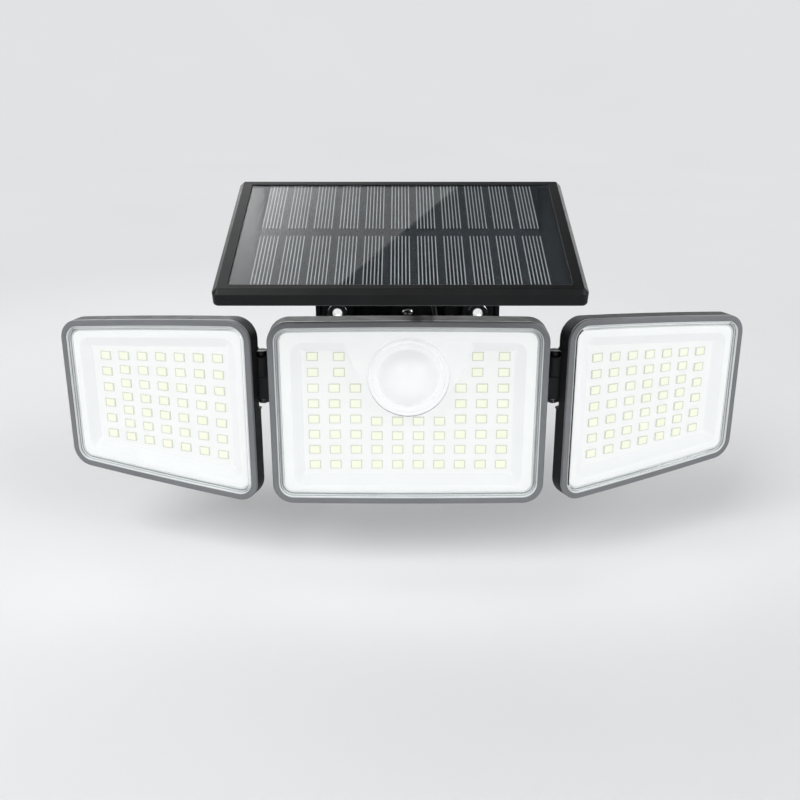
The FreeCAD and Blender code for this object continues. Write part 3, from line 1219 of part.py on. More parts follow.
def panel_screws():
    screws = [pan_screw(PANEL_SCREW_R, 2 * PANEL_SCREW_R, PANEL_SCREW_HEAD_T, PANEL_SCREW_LENGTH,
                        (x, y, UNDERSIDE), (0, 0, 1)) for x, y in PANEL_SCREWS]
    return panel_place(Part.makeCompound(screws))


# ---------------------------------------------------------------- lead and glands
def lead_start():
    """Start of the lead in the panel's frame."""
    start = vec(*UPPER_LEAD[0]) - vec(PANEL_X, -PANEL_AXIS_Y, PANEL_AXIS_Z)
    angle = math.radians(-PANEL_TILT)
    return vec(start.x, start.y * math.cos(angle) - start.z * math.sin(angle),
               start.y * math.sin(angle) + start.z * math.cos(angle))


def panel_gland_point():
    """Place of the panel's gland in the panel's frame, in line with the lead's first run."""
    start = lead_start()
    return start.x, start.y


def panel_gland():
    """Cable gland in the panel's underside; the lead meets its end face."""
    x, y, low = lead_start()
    nut_low = UNDERSIDE - GLAND_NUT_T
    nut = hexagon(GLAND_R + GLAND_FLAT, (x, y, nut_low), (0, 0, 1), GLAND_NUT_T)
    nose = Part.makeCone(LEAD_R + GLAND_NOSE, GLAND_R - GLAND_TAPER, nut_low - low, vec(x, y, low))
    stem = rod(GLAND_STEM_R, (x, y, UNDERSIDE), (0, 0, 1), BACK_COVER_T + GLAND_TAIL)
    return panel_place(fuse_all([nut, nose, stem]))


def head_gland():
    """Cable gland in the top of the centre head's box; the lead meets its end face."""
    x, y, z = LOWER_LEAD[-1]
    wall_z = BOX_TOP - HEAD_DROP
    nut_top = wall_z + GLAND_NUT_T
    nut = hexagon(GLAND_R + GLAND_FLAT, (x, y, wall_z), (0, 0, 1), GLAND_NUT_T)
    nose = Part.makeCone(GLAND_R - GLAND_TAPER, LEAD_R + GLAND_NOSE, z - nut_top, vec(x, y, nut_top))
    stem_low = wall_z - WALL - GLAND_TAIL
    stem = rod(GLAND_STEM_R, (x, y, stem_low), (0, 0, 1), wall_z - stem_low)
    return fuse_all([nut, nose, stem])


def head_gland_hole():
    """Hole of the gland in the head's box."""
    x, y, _ = LOWER_LEAD[-1]
    low = BOX_TOP - HEAD_DROP - WALL - PROUD
    return rod(GLAND_STEM_R + SLIP, (x, y, low), (0, 0, 1), WALL + 2 * PROUD)


def lead(route):
    """Stretch of the lead: straight runs joined by tangent arcs."""
    points = [vec(*p) for p in route]
    edges, start = [], points[0]
    for before, corner, after in zip(points, points[1:], points[2:]):
        into, out = (corner - before), (after - corner)
        cut = LEAD_BEND * min(into.Length, out.Length)
        into.normalize()
        out.normalize()
        half_turn = into.getAngle(out) / 2
        radius = cut / math.tan(half_turn)
        arc_start, arc_end = corner - into * cut, corner + out * cut
        inward = (out - into).normalize()
        sag = radius * (1 / math.cos(half_turn) - 1)
        edges.append(Part.makeLine(start, arc_start))
        edges.append(Part.Arc(arc_start, corner + inward * sag, arc_end).toShape())
        start = arc_end
    edges.append(Part.makeLine(start, points[-1]))
    section = Part.Wire(Part.makeCircle(LEAD_R, points[0], points[1] - points[0]))
    return Part.Wire(edges).makePipeShell([section], True, True)


# ---------------------------------------------------------------- the whole light
def build():
    """All nodes by name."""
    nodes = {
        "wall_bracket": wall_bracket(), "hole_ferrules": hole_ferrules(),
        "panel_arm": panel_arm(), "arm_screws": arm_screws(),
        "head_tilt_bolt": tilt_bolt(), "head_tilt_nut": tilt_nut(),
        "panel_tilt_bolt": panel_bolt(), "panel_tilt_nut": panel_nut(),
        "panel_lead": lead(UPPER_LEAD), "head_lead": lead(LOWER_LEAD),
        "head_gland": head_gland(),
        "panel_frame": panel_frame(), "solar_backing": solar_backing(),
        "solar_cells": solar_cells(), "solar_cover": solar_cover(),
        "panel_back_cover": panel_back_cover(), "panel_screws": panel_screws(),
        "panel_gland": panel_gland(),
        "head_housing": head_housing(), "head_rear_cover": rear_cover(),
        "head_cover_screws": cover_screws(), "head_frame": head_place(front_frame(HEAD)),
        "head_lens": head_lens(), "head_gasket": head_place(gasket(HEAD)),
        "head_reflector": head_reflector(), "head_led_board": head_place(led_board(HEAD)),
        "head_leds": head_place(led_group(head_led_places(), BOARD_DEPTH)),
        "sensor_ring": sensor_ring(), "sensor_dome": sensor_dome(), "sensor_can": sensor_can(),
        "battery_cells": battery_cells(), "battery_cradle": battery_cradle(),
        "control_board": control_board(), "mode_switch": mode_switch(),
        "mode_button": mode_button(), "fold_nuts": fold_nuts(),
    }
    for side, name in ((-1, "left"), (1, "right")):
        outline, field = wing_outline(side), wing_field(side)
        nodes[name + "_fold_bolt"] = fold_bolt(side)
        nodes[name + "_wing_housing"] = wing_housing(side)
        nodes[name + "_wing_frame"] = wing_place(front_frame(outline), side)
        nodes[name + "_wing_lens"] = wing_place(lens(outline), side)
        nodes[name + "_wing_gasket"] = wing_place(gasket(outline), side)
        nodes[name + "_wing_reflector"] = wing_place(reflector(outline, field), side)
        nodes[name + "_wing_led_board"] = wing_place(led_board(outline), side)
        nodes[name + "_wing_leds"] = wing_place(led_group(wing_led_places(side), BOARD_DEPTH), side)
    return nodes


def main():
    os.makedirs("parts", exist_ok=True)
    for name, shape in build().items():
        print(name, "solids", len(shape.Solids), "valid", shape.isValid(), "volume", round(shape.Volume, 1))
        shape.exportStep("parts/" + name + ".step")


if __name__ == "__main__":
    main()
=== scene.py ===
"""Looks of a motion sensor security light with three lamp heads and a solar panel.

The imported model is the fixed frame: X to the viewer's right, Y into the wall, Z up, in metres,
with the origin on the wall midway between the two screw holes. Each sub-assembly is drawn in
millimetres in a frame of its own, as in the solids, and a matrix puts its mesh in its place.
"""
import sys
import logging
import math
from dataclasses import dataclass, field
from enum import Enum
from typing import Iterable, Sequence

import bmesh
import bpy
from mathutils import Matrix, Vector

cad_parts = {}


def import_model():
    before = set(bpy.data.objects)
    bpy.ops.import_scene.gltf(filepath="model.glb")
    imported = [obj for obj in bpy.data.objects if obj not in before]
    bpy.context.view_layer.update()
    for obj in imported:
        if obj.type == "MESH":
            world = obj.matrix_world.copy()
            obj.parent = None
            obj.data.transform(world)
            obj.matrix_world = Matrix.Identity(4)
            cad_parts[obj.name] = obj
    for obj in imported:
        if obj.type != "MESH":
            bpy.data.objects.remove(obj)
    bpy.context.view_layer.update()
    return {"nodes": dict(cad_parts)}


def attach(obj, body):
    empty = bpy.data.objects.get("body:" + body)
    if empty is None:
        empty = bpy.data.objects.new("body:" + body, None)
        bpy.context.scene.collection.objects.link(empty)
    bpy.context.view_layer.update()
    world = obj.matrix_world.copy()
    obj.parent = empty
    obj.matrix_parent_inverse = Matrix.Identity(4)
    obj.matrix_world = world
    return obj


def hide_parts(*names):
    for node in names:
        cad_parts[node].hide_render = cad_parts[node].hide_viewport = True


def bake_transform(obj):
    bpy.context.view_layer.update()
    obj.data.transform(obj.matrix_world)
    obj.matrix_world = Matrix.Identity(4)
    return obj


LOG = logging.getLogger("security_light")
MM = 0.001
MERGE_MM = 1e-5               # points of a turned shape that lie closer than this are one
FACING_LEAST = 0.9            # least cosine between a face's normal and the way that it looks
NOISE_SPAN = (0.3, 0.7)       # part of Blender's noise that holds nearly all of its values
HEAD_MIDDLE = (0.0, -74.0, -37.0)
OPENING_CORNER = 6.0
OPENING_CROWN = 0.05
Point = tuple[float, float]
Triple = tuple[float, float, float]
Socket = bpy.types.NodeSocket


# ---------------------------------------------------------------- node and mesh helpers
def linear(code: str) -> tuple[float, float, float, float]:
    """Turn an sRGB hex colour to linear RGBA.

    Args:
        code: Colour as "#RRGGBB".

    Returns:
        Linear red, green, blue and an alpha of 1.
    """
    shades = [int(code[i:i + 2], 16) / 255 for i in (1, 3, 5)]
    red, green, blue = [s / 12.92 if s <= 0.04045 else ((s + 0.055) / 1.055) ** 2.4 for s in shades]
    return red, green, blue, 1.0


def add_node(tree: bpy.types.NodeTree, kind: str, inputs: dict[object, object] | None = None,
             **settings: object) -> bpy.types.Node:
    """Add one node to a tree.

    Args:
        tree: The node tree.
        kind: Blender's type name of the node.
        inputs: Value or source socket for each input, by name or index.
        **settings: Properties of the node itself.

    Returns:
        The new node.
    """
    node = tree.nodes.new(kind)
    for name, value in settings.items():
        setattr(node, name, value)
    for key, value in (inputs or {}).items():
        if isinstance(value, Socket):
            tree.links.new(value, node.inputs[key])
        else:
            node.inputs[key].default_value = value
    return node


def overlay(tree: bpy.types.NodeTree, shader: bpy.types.Node, share: Socket, other: Socket) -> None:
    """Mix a second shader over a material's own and lead the mix to its output.

    Args:
        tree: The material's tree.
        shader: The material's own shader.
        share: Share of the second shader, from 0 to 1.
        other: Output of the second shader.
    """
    mixed = add_node(tree, "ShaderNodeMixShader", {0: share, 1: shader.outputs["BSDF"], 2: other})
    outlet = next(node for node in tree.nodes if node.type == "OUTPUT_MATERIAL")
    tree.links.new(mixed.outputs[0], outlet.inputs["Surface"])


def mesh_piece(name: str, shape: bmesh.types.BMesh, place: Matrix, sharp: float = 35.0) -> bpy.types.Object:
    """Turn a bmesh in millimetres into a finished piece at the origin.

    Args:
        name: Name of the piece.
        shape: The mesh, which is freed.
        place: Place of the piece's own frame in the light, in millimetres.
        sharp: Angle in degrees past which an edge stays crisp.

    Returns:
        The new object, with its place in its mesh.
    """
    bmesh.ops.transform(shape, matrix=Matrix.Scale(MM, 4) @ place, verts=shape.verts)
    bmesh.ops.recalc_face_normals(shape, faces=shape.faces)
    for face in shape.faces:
        face.smooth = True
    mesh = bpy.data.meshes.new(name)
    shape.to_mesh(mesh)
    shape.free()
    mesh.set_sharp_from_angle(angle=math.radians(sharp))
    piece = bpy.data.objects.new(name, mesh)
    bpy.context.scene.collection.objects.link(piece)
    return piece


def rounded_profile(corners: Sequence[Triple], steps: int = 4) -> list[Point]:
    """Round the corners of a closed profile.

    Args:
        corners: First and second coordinate and radius of each corner, in order.
        steps: Number of spans in each round.

    Returns:
        Points of the rounded profile, in the same order.
    """
    points: list[Point] = []
    count = len(corners)
    for index, (x, y, radius) in enumerate(corners):
        here = Vector((x, y))
        if radius <= 0:
            points.append((x, y))
            continue
        before = (Vector(corners[index - 1][:2]) - here).normalized()
        after = (Vector(corners[(index + 1) % count][:2]) - here).normalized()
        half = before.angle(after) / 2
        centre = here + (before + after).normalized() * (radius / math.sin(half))
        start = here + before * (radius / math.tan(half)) - centre
        end = here + after * (radius / math.tan(half)) - centre
        turn = start.angle_signed(end)
        for step in range(steps + 1):
            angle = -turn * step / steps
            points.append((centre.x + start.x * math.cos(angle) - start.y * math.sin(angle),
                           centre.y + start.x * math.sin(angle) + start.y * math.cos(angle)))
    return points


def bridge_rings(shape: bmesh.types.BMesh, rings: Sequence[Sequence[Vector]], closed: bool) -> None:
    """Add faces between rings that have the same number of points.

    Args:
        shape: The bmesh that receives the faces.
        rings: Rings of points, each closed in itself.
        closed: Whether the last ring joins the first.
    """
    made = [[shape.verts.new(point) for point in ring] for ring in rings]
    pairs = list(zip(made, made[1:])) + ([(made[-1], made[0])] if closed else [])
    for low, high in pairs:
        for i in range(len(low)):
            j = (i + 1) % len(low)
            shape.faces.new((low[i], low[j], high[j], high[i]))


def lathe(shape: bmesh.types.BMesh, profile: Sequence[Point], closed: bool, centre: Vector = Vector(),
          spans: int = 96) -> None:
    """Turn a profile about an axis along Y.

    Args:
        shape: The bmesh that receives the faces.
        profile: Radius and Y of each point; a radius of 0 makes a pole.
        closed: Whether the profile is a closed loop.
        centre: Point of the axis.
        spans: Number of spans round the axis.
    """
    turns = [2 * math.pi * i / spans for i in range(spans)]
    rings = [[centre + Vector((r * math.cos(a), y, r * math.sin(a))) for a in turns] for r, y in profile]
    bridge_rings(shape, rings, closed)
    bmesh.ops.remove_doubles(shape, verts=shape.verts, dist=MERGE_MM)


def dress(piece: bpy.types.Object, body: str, material: bpy.types.Material,
          replaces: Iterable[str] = ()) -> bpy.types.Object:
    """Give a piece its material, its body and the nodes that it stands for.

    Args:
        piece: The finished piece.
        body: Name of the body that it rides on.
        material: Its material, unless it already has its own.
        replaces: CAD nodes that it stands for.

    Returns:
        The same piece.
    """
    if not piece.data.materials:
        piece.data.materials.append(material)
    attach(piece, body)
    nodes = list(replaces)
    if nodes:
        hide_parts(*nodes)
    LOG.info("%s rides on %s: %d faces", piece.name, body, len(piece.data.polygons))
    return piece


# ---------------------------------------------------------------- geometry nodes
class Pattern:
    """A Geometry Nodes tree with named sizes, which puts copies of a shape on points."""

    def __init__(self, name: str, sizes: dict[str, float]) -> None:
        """Make the tree with its inputs.

        Args:
            name: Name of the tree.
            sizes: Sizes in millimetres, by the name of the input; a whole number makes a count.
        """
        self.tree = bpy.data.node_groups.new(name, "GeometryNodeTree")
        face = self.tree.interface
        face.new_socket("Geometry", in_out="OUTPUT", socket_type="NodeSocketGeometry")
        face.new_socket("Points", in_out="INPUT", socket_type="NodeSocketGeometry")
        self.keys: dict[str, str] = {}
        self.sizes = sizes
        for size, value in sizes.items():
            kind = "NodeSocketInt" if isinstance(value, int) else "NodeSocketFloat"
            self.keys[size] = face.new_socket(size, in_out="INPUT", socket_type=kind).identifier
        self.inlet = self.add("NodeGroupInput")

    def add(self, kind: str, inputs: dict[object, object] | None = None,
            **settings: object) -> bpy.types.Node:
        """Add a node to the tree, as add_node does.

        Args:
            kind: Type name of the node.
            inputs: Value or source socket for each input.
            **settings: Properties of the node.

        Returns:
            The new node.
        """
        return add_node(self.tree, kind, inputs, **settings)

    def math(self, operation: str, first: object, second: object = 0.0) -> Socket:
        """Result of one sum.

        Args:
            operation: Blender's name of the operation.
            first: First value or socket.
            second: Second value or socket.

        Returns:
            The result.
        """
        return self.add("ShaderNodeMath", {0: first, 1: second}, operation=operation).outputs[0]

    def vector(self, x: object = 0.0, y: object = 0.0, z: object = 0.0) -> Socket:
        """A vector from three values or sockets."""
        return self.add("ShaderNodeCombineXYZ", {0: x, 1: y, 2: z}).outputs[0]

    def box(self, size: Socket, middle: Socket) -> Socket:
        """A box.

        Args:
            size: Its three sizes.
            middle: Its middle.

        Returns:
            The box's geometry.
        """
        cube = self.add("GeometryNodeMeshCube", {"Size": size}).outputs["Mesh"]
        return self.add("GeometryNodeTransform", {"Geometry": cube, "Translation": middle}).outputs[0]

    def facing(self, direction: Triple) -> Socket:
        """Selection of the faces that look in a direction.

        Args:
            direction: The direction, of length 1.

        Returns:
            The selection.
        """
        normal = self.add("GeometryNodeInputNormal").outputs[0]
        along = self.add("ShaderNodeVectorMath", {0: normal, 1: direction}, operation="DOT_PRODUCT")
        return self.add("FunctionNodeCompare", {0: along.outputs["Value"], 1: FACING_LEAST},
                        operation="GREATER_THAN").outputs[0]

    def inset(self, mesh: Socket, chosen: Socket, depth: object, share: object) -> tuple[Socket, Socket]:
        """Push chosen faces outwards and shrink them.

        Args:
            mesh: The mesh.
            chosen: Selection of the faces.
            depth: Distance along the normal.
            share: Size of the pushed faces against their old size.

        Returns:
            The mesh and the selection of the pushed faces.
        """
        pushed = self.add("GeometryNodeExtrudeMesh", {
            "Mesh": mesh, "Selection": chosen, "Offset Scale": depth, "Individual": False})
        shrunk = self.add("GeometryNodeScaleElements", {"Geometry": pushed.outputs["Mesh"], "Scale": share,
                                                        "Selection": pushed.outputs["Top"]})
        return shrunk.outputs[0], pushed.outputs["Top"]

    def mark(self, mesh: Socket, name: str, chosen: object) -> Socket:
        """Store a selection of faces under a name, so that it outlives the copies.

        Args:
            mesh: The mesh.
            name: Name of the attribute.
            chosen: The selection, or True for every face.

        Returns:
            The mesh with its attribute.
        """
        store = self.add("GeometryNodeStoreNamedAttribute", {"Geometry": mesh, "Name": name, "Value": chosen},
                         data_type="BOOLEAN", domain="FACE")
        return store.outputs[0]

    def close(self, shape: Socket, material: bpy.types.Material,
              marked: dict[str, bpy.types.Material]) -> None:
        """End the tree: copies on the points, made real, with their materials.

        Args:
            shape: The shape that is repeated.
            material: Material of the whole shape.
            marked: Material of each marked selection, by its name.
        """
        copies = self.add("GeometryNodeInstanceOnPoints", {"Points": self.inlet.outputs["Points"],
                                                           "Instance": shape}).outputs[0]
        real = self.add("GeometryNodeRealizeInstances", {"Geometry": copies}).outputs[0]
        last = self.add("GeometryNodeSetMaterial", {"Geometry": real, "Material": material}).outputs[0]
        for name, other in marked.items():
            chosen = self.add("GeometryNodeInputNamedAttribute", {"Name": name}, data_type="BOOLEAN")
            last = self.add("GeometryNodeSetMaterial", {"Geometry": last, "Material": other,
                                                        "Selection": chosen.outputs["Attribute"]}).outputs[0]
        self.add("NodeGroupOutput", {"Geometry": last})

    def bake(self, name: str, places: Iterable[Vector], place: Matrix,
             smooth: float = 0.0) -> bpy.types.Object:
        """Run the tree on points and keep the result as a plain mesh.

        Args:
            name: Name of the piece.
            places: Points in millimetres, in the frame that place puts in the light.
            place: Matrix of that frame.
            smooth: Angle in degrees below which an edge is smooth; 0 keeps flat faces.

        Returns:
            The finished piece at the origin.
        """
        mesh = bpy.data.meshes.new(name)
        mesh.from_pydata([tuple(p) for p in places], [], [])
        piece = bpy.data.objects.new(name, mesh)
        bpy.context.scene.collection.objects.link(piece)
        modifier = piece.modifiers.new(self.tree.name, "NODES")
        modifier.node_group = self.tree
        for size, value in self.sizes.items():
            modifier[self.keys[size]] = value
        bpy.context.view_layer.update()
        graph = bpy.context.evaluated_depsgraph_get()
        made = bpy.data.meshes.new_from_object(piece.evaluated_get(graph))
        piece.modifiers.clear()
        piece.data = made
        bpy.data.meshes.remove(mesh)
        made.name = name
        made.transform(Matrix.Scale(MM, 4) @ place)
        if smooth:
            made.shade_smooth()
            made.set_sharp_from_angle(angle=math.radians(smooth))
        return piece


# ---------------------------------------------------------------- finishes
@dataclass(frozen=True)
class Finish:
    """Common ground of all finishes: a name and the nodes of one material."""

    name: str

    def start(self) -> tuple[bpy.types.Material, bpy.types.NodeTree, bpy.types.Node]:
        """Make an empty material with one shader.

        Returns:
            The material, its tree and its shader node.
        """
        material = bpy.data.materials.new(self.name)
        material.use_nodes = True
        tree = material.node_tree
        tree.nodes.clear()
        shader = add_node(tree, "ShaderNodeBsdfPrincipled")
        add_node(tree, "ShaderNodeOutputMaterial", {"Surface": shader.outputs["BSDF"]})
        return material, tree, shader

    def noise(self, tree: bpy.types.NodeTree, size_mm: float, detail: float = 2.0) -> Socket:
        """Noise on the piece's own coordinates.

        Args:
            tree: The material's tree.
            size_mm: Size of one blotch.
            detail: Finer layers of the noise.

        Returns:
            The noise from 0 to 1.
        """
        place = add_node(tree, "ShaderNodeTexCoord")
        made = add_node(tree, "ShaderNodeTexNoise", {"Vector": place.outputs["Object"],
                                                     "Scale": 1 / (size_mm * MM), "Detail": detail})
        return made.outputs["Fac"]

    def vary(self, tree: bpy.types.NodeTree, source: Socket, low: float, high: float) -> Socket:
        """Map a noise to a range of values.

        Args:
            tree: The material's tree.
            source: The noise.
            low: Value where the noise is low.
            high: Value where the noise is high.

        Returns:
            The mapped value.
        """
        made = add_node(tree, "ShaderNodeMapRange", {
            "Value": source, "From Min": NOISE_SPAN[0], "From Max": NOISE_SPAN[1],
            "To Min": low, "To Max": high})
        return made.outputs["Result"]

    def tint(self, tree: bpy.types.NodeTree, source: Socket, low: str, high: str) -> Socket:
        """Colour that moves between two shades with a noise.

        Args:
            tree: The material's tree.
            source: The noise.
            low: Colour where the noise is low.
            high: Colour where the noise is high.

        Returns:
            The colour.
        """
        ramp = add_node(tree, "ShaderNodeValToRGB", {"Fac": source})
        for stop, position, code in zip(ramp.color_ramp.elements, NOISE_SPAN, (low, high)):
            stop.position = position
            stop.color = linear(code)
        return ramp.outputs["Color"]


@dataclass(frozen=True)
class MouldedPlastic(Finish):
    """Injection moulded plastic with a spark-eroded grain, softly rounded at its edges."""

    shade: str
    shade_high: str
    roughness: tuple[float, float] = (0.36, 0.46)
    gloss: float = 0.3            # share of a full surface reflection that the grain leaves
    grain_mm: float = 0.7         # real grain is about 0.1 mm; drawn coarser so that it shows
    relief_mm: float = 0.006
    edge_mm: float = 0.35
    flow_mm: float = 22.0         # slow drift of the colour along the melt's flow
    patch_mm: float = 6.0         # patches of slightly different gloss
    bump: float = 0.6
    ior: float = 1.53

    def build(self) -> bpy.types.Material:
        """Build the material.

        Returns:
            The material.
        """
        material, tree, shader = self.start()
        flow = self.noise(tree, self.flow_mm, detail=3.0)
        tree.links.new(self.tint(tree, flow, self.shade, self.shade_high), shader.inputs["Base Color"])
        patches = self.noise(tree, self.patch_mm, detail=3.0)
        tree.links.new(self.vary(tree, patches, *self.roughness), shader.inputs["Roughness"])
        edge = add_node(tree, "ShaderNodeBevel", {"Radius": self.edge_mm * MM}, samples=4)
        bump = add_node(tree, "ShaderNodeBump", {"Height": self.noise(tree, self.grain_mm, detail=1.0),
                                                 "Distance": self.relief_mm * MM, "Strength": self.bump,
                                                 "Normal": edge.outputs["Normal"]})
        tree.links.new(bump.outputs["Normal"], shader.inputs["Normal"])
        shader.inputs["IOR"].default_value = self.ior
        shader.inputs["Specular IOR Level"].default_value = self.gloss
        return material


@dataclass(frozen=True)
class ClearPlastic(Finish):
    """Clear moulded plastic, such as polycarbonate, with faint handling marks in its gloss."""

    ior: float
    roughness: tuple[float, float] = (0.02, 0.05)
    shade: str = "#FBFCFC"
    shadow_shade: str = "#F4F6F6"
    mark_mm: float = 9.0

    def build(self) -> bpy.types.Material:
        """Build the material.

        Returns:
            The material.
        """
        material, tree, shader = self.start()
        shader.inputs["Base Color"].default_value = linear(self.shade)
        shader.inputs["Transmission Weight"].default_value = 1.0
        shader.inputs["IOR"].default_value = self.ior
        marks = self.noise(tree, self.mark_mm, detail=4.0)
        tree.links.new(self.vary(tree, marks, *self.roughness), shader.inputs["Roughness"])
        # a clear sheet hardly dims the light that passes it, so almost no shadow is left of it
        rays = add_node(tree, "ShaderNodeLightPath").outputs
        open_way = add_node(tree, "ShaderNodeBsdfTransparent", {"Color": linear(self.shadow_shade)})
        overlay(tree, shader, rays["Is Shadow Ray"], open_way.outputs["BSDF"])
        return material


@dataclass(frozen=True)
class LitPlastic(Finish):
    """White moulded plastic with a painted glow that stands in for the light the LEDs behind or beside it
    fill it with.

    Its shade is what the eye sees; the share called glow is painted light that it sends out itself, and the
    rest is the room's light.
    """

    shade: str
    shade_high: str
    glow: float
    roughness: tuple[float, float] = (0.4, 0.5)
    gloss: float = 0.3
    drift_mm: float = 14.0        # slow drift of the colour
    patch_mm: float = 5.0         # patches of slightly different gloss

    def build(self) -> bpy.types.Material:
        """Build the material.

        Returns:
            The material.
        """
        material, tree, shader = self.start()
        colour = self.tint(tree, self.noise(tree, self.drift_mm), self.shade, self.shade_high)
        surface = add_node(tree, "ShaderNodeVectorMath", {0: colour, "Scale": 1 - self.glow},
                           operation="SCALE")
        tree.links.new(surface.outputs["Vector"], shader.inputs["Base Color"])
        tree.links.new(colour, shader.inputs["Emission Color"])
        shader.inputs["Emission Strength"].default_value = self.glow
        shader.inputs["Specular IOR Level"].default_value = self.gloss
        patches = self.noise(tree, self.patch_mm)
        tree.links.new(self.vary(tree, patches, *self.roughness), shader.inputs["Roughness"])
        return material


@dataclass(frozen=True)
class Metal(Finish):
    """Plated or blackened steel with fine tumbling marks."""

    shade: str
    shade_high: str
    roughness: tuple[float, float] = (0.16, 0.26)
    mark_mm: float = 0.8
    drift_mm: float = 4.0         # slow drift of the plating's colour
    edge_mm: float = 0.2

    def build(self) -> bpy.types.Material:
        """Build the material.

        Returns:
            The material.
        """
        material, tree, shader = self.start()
        drift = self.noise(tree, self.drift_mm, detail=3.0)
        tree.links.new(self.tint(tree, drift, self.shade, self.shade_high), shader.inputs["Base Color"])
        shader.inputs["Metallic"].default_value = 1.0
        marks = self.noise(tree, self.mark_mm, detail=3.0)
        tree.links.new(self.vary(tree, marks, *self.roughness), shader.inputs["Roughness"])
        edge = add_node(tree, "ShaderNodeBevel", {"Radius": self.edge_mm * MM}, samples=4)
        tree.links.new(edge.outputs["Normal"], shader.inputs["Normal"])
        return material


class Finishes(Enum):
    """Every finish of the light, by what the real one is and what that gives the eye."""

    # eroded ABS: near black, with a soft wide sheen and a fine grain in it
    HOUSING = MouldedPlastic("abs_black_grained", "#1B1C1E", "#202123", (0.44, 0.54), 0.17)
    # the front frames are smoother, so that their rounded edges draw light lines; their charcoal is drawn
    # lighter than the real black-charcoal, partly as painted glare from the LEDs
    RIM = MouldedPlastic("abs_charcoal_satin_glare_lightened", "#67696C", "#6D6F72", (0.3, 0.38), 0.5, relief_mm=0.002)
    # the panel's tray is satin too, but nearly black
    FRAME = MouldedPlastic("abs_black_satin", "#0E0F10", "#131415", (0.3, 0.38), 0.16, relief_mm=0.002)
    # polycarbonate and PET: clear, with sharp reflections and grey lines at their bevels
    CLEAR = ClearPlastic("polycarbonate_clear", 1.585)
    COVER = ClearPlastic("pet_cover_clear", 1.5, (0.012, 0.03))
    # white parts with a painted glow for the LEDs' light in them: even and nearly free of shading
    REFLECTOR = LitPlastic("polycarbonate_white_lit", "#F8F9F9", "#FAFBFB", 0.86)
    BOARD = LitPlastic("solder_mask_white_lit", "#F7F8F7", "#F9FAF9", 0.84)
    # painted shade: a darker copy of the same white plastic, with the same painted glow, on the faces that
    # slope away from the eye
    SLOPE_PAINTED_SHADE = LitPlastic("polycarbonate_white_painted_shade", "#F0F1F2", "#F2F3F4", 0.84)
    # milky polyethylene: a dull white that keeps soft shading on its curve; it and the white ring beside it
    # carry a painted glow for the LEDs' light
    DOME = LitPlastic("polyethylene_frosted_lit", "#F1F2F3", "#F3F4F5", 0.65, (0.34, 0.44))
    RING = LitPlastic("abs_white_lit", "#F3F4F5", "#F6F7F8", 0.68, (0.3, 0.38))
    # phosphor in silicone: pale yellow-green, brighter than its package
    PHOSPHOR = LitPlastic("phosphor_pale_yellow_lit", "#FAFDE4", "#FCFEEC", 0.84, (0.3, 0.4))
    # the package's grey plastic, with a painted glow from its LED's light
    PACKAGE = LitPlastic("led_package_grey_lit", "#CDD0C2", "#D4D7CB", 0.6)
    # silicone seal, one grey drawn in two shades seen through the lens's edge: painted highlights on its lips
    # and bead, painted shade on the bed between them; both with a painted glow
    GASKET_PAINTED_SHADE = LitPlastic("silicone_grey_painted_shade_lit", "#8E9193", "#979A9C", 0.2)
    LIPS_PAINTED_HIGHLIGHT = LitPlastic("silicone_grey_painted_highlight_lit", "#CDD0D1", "#D5D8D9", 0.4)
    # laminate backing: dark grey between the cells
    BACKING = MouldedPlastic("laminate_backing_grey", "#212529", "#262A2E", (0.4, 0.5), 0.1, relief_mm=0.001)
    # silicon wafer: almost black with a blue cast and a low sheen
    SILICON = MouldedPlastic("silicon_monocrystalline", "#0B0E12", "#10141A", (0.3, 0.4), 0.1,
                             relief_mm=0.001, edge_mm=0.05)
    # printed silver paste: dull light grey lines
    FINGER = MouldedPlastic("silver_paste_printed", "#8A8E91", "#979B9E", (0.5, 0.6), 0.1,
                            relief_mm=0.001, edge_mm=0.05)
    NYLON = MouldedPlastic("nylon_black", "#17181A", "#1E1F21", (0.45, 0.55))
    RUBBER = MouldedPlastic("rubber_black", "#141415", "#1B1B1C", (0.6, 0.7))
    JACKET = MouldedPlastic("pvc_jacket_black", "#18191A", "#1F2021", (0.35, 0.45))
    # plated and blackened steel: bright lines on nickel, a dull glow on zinc and oxide
    BRIGHT_STEEL = Metal("steel_nickel_plated", "#D6D7D9", "#E2E3E4", (0.1, 0.2))
    ZINC_STEEL = Metal("steel_zinc_plated", "#B4B6B8", "#C6C8CB", (0.3, 0.42))
    BLACK_STEEL = Metal("steel_black_oxide", "#2E2F31", "#3A3B3D", (0.35, 0.5))
    WRAP = MouldedPlastic("pvc_cell_wrap_blue", "#1C4E86", "#225A97", (0.3, 0.4))
    CIRCUIT = MouldedPlastic("circuit_board_green", "#17482B", "#1E5634", (0.35, 0.45))


SLOT_FINISH = {
    "housing_abs": Finishes.HOUSING, "frame_abs": Finishes.RIM, "clear_pc": Finishes.CLEAR,
    "white_pc": Finishes.REFLECTOR, "dome_pe": Finishes.DOME, "led_phosphor": Finishes.PHOSPHOR,
    "white_board": Finishes.BOARD, "green_board": Finishes.CIRCUIT, "black_nylon": Finishes.NYLON,
    "rubber": Finishes.RUBBER, "grey_silicone": Finishes.GASKET_PAINTED_SHADE, "lead_jacket": Finishes.JACKET,
    "bright_steel": Finishes.BRIGHT_STEEL, "black_steel": Finishes.BLACK_STEEL,
    "zinc_steel": Finishes.ZINC_STEEL, "sensor_metal": Finishes.BRIGHT_STEEL, "cell_wrap": Finishes.WRAP,
    "solar_silicon": Finishes.SILICON, "solar_backing": Finishes.BACKING, "clear_cover": Finishes.COVER,
}
NODE_FINISH = {"panel_frame": Finishes.FRAME}


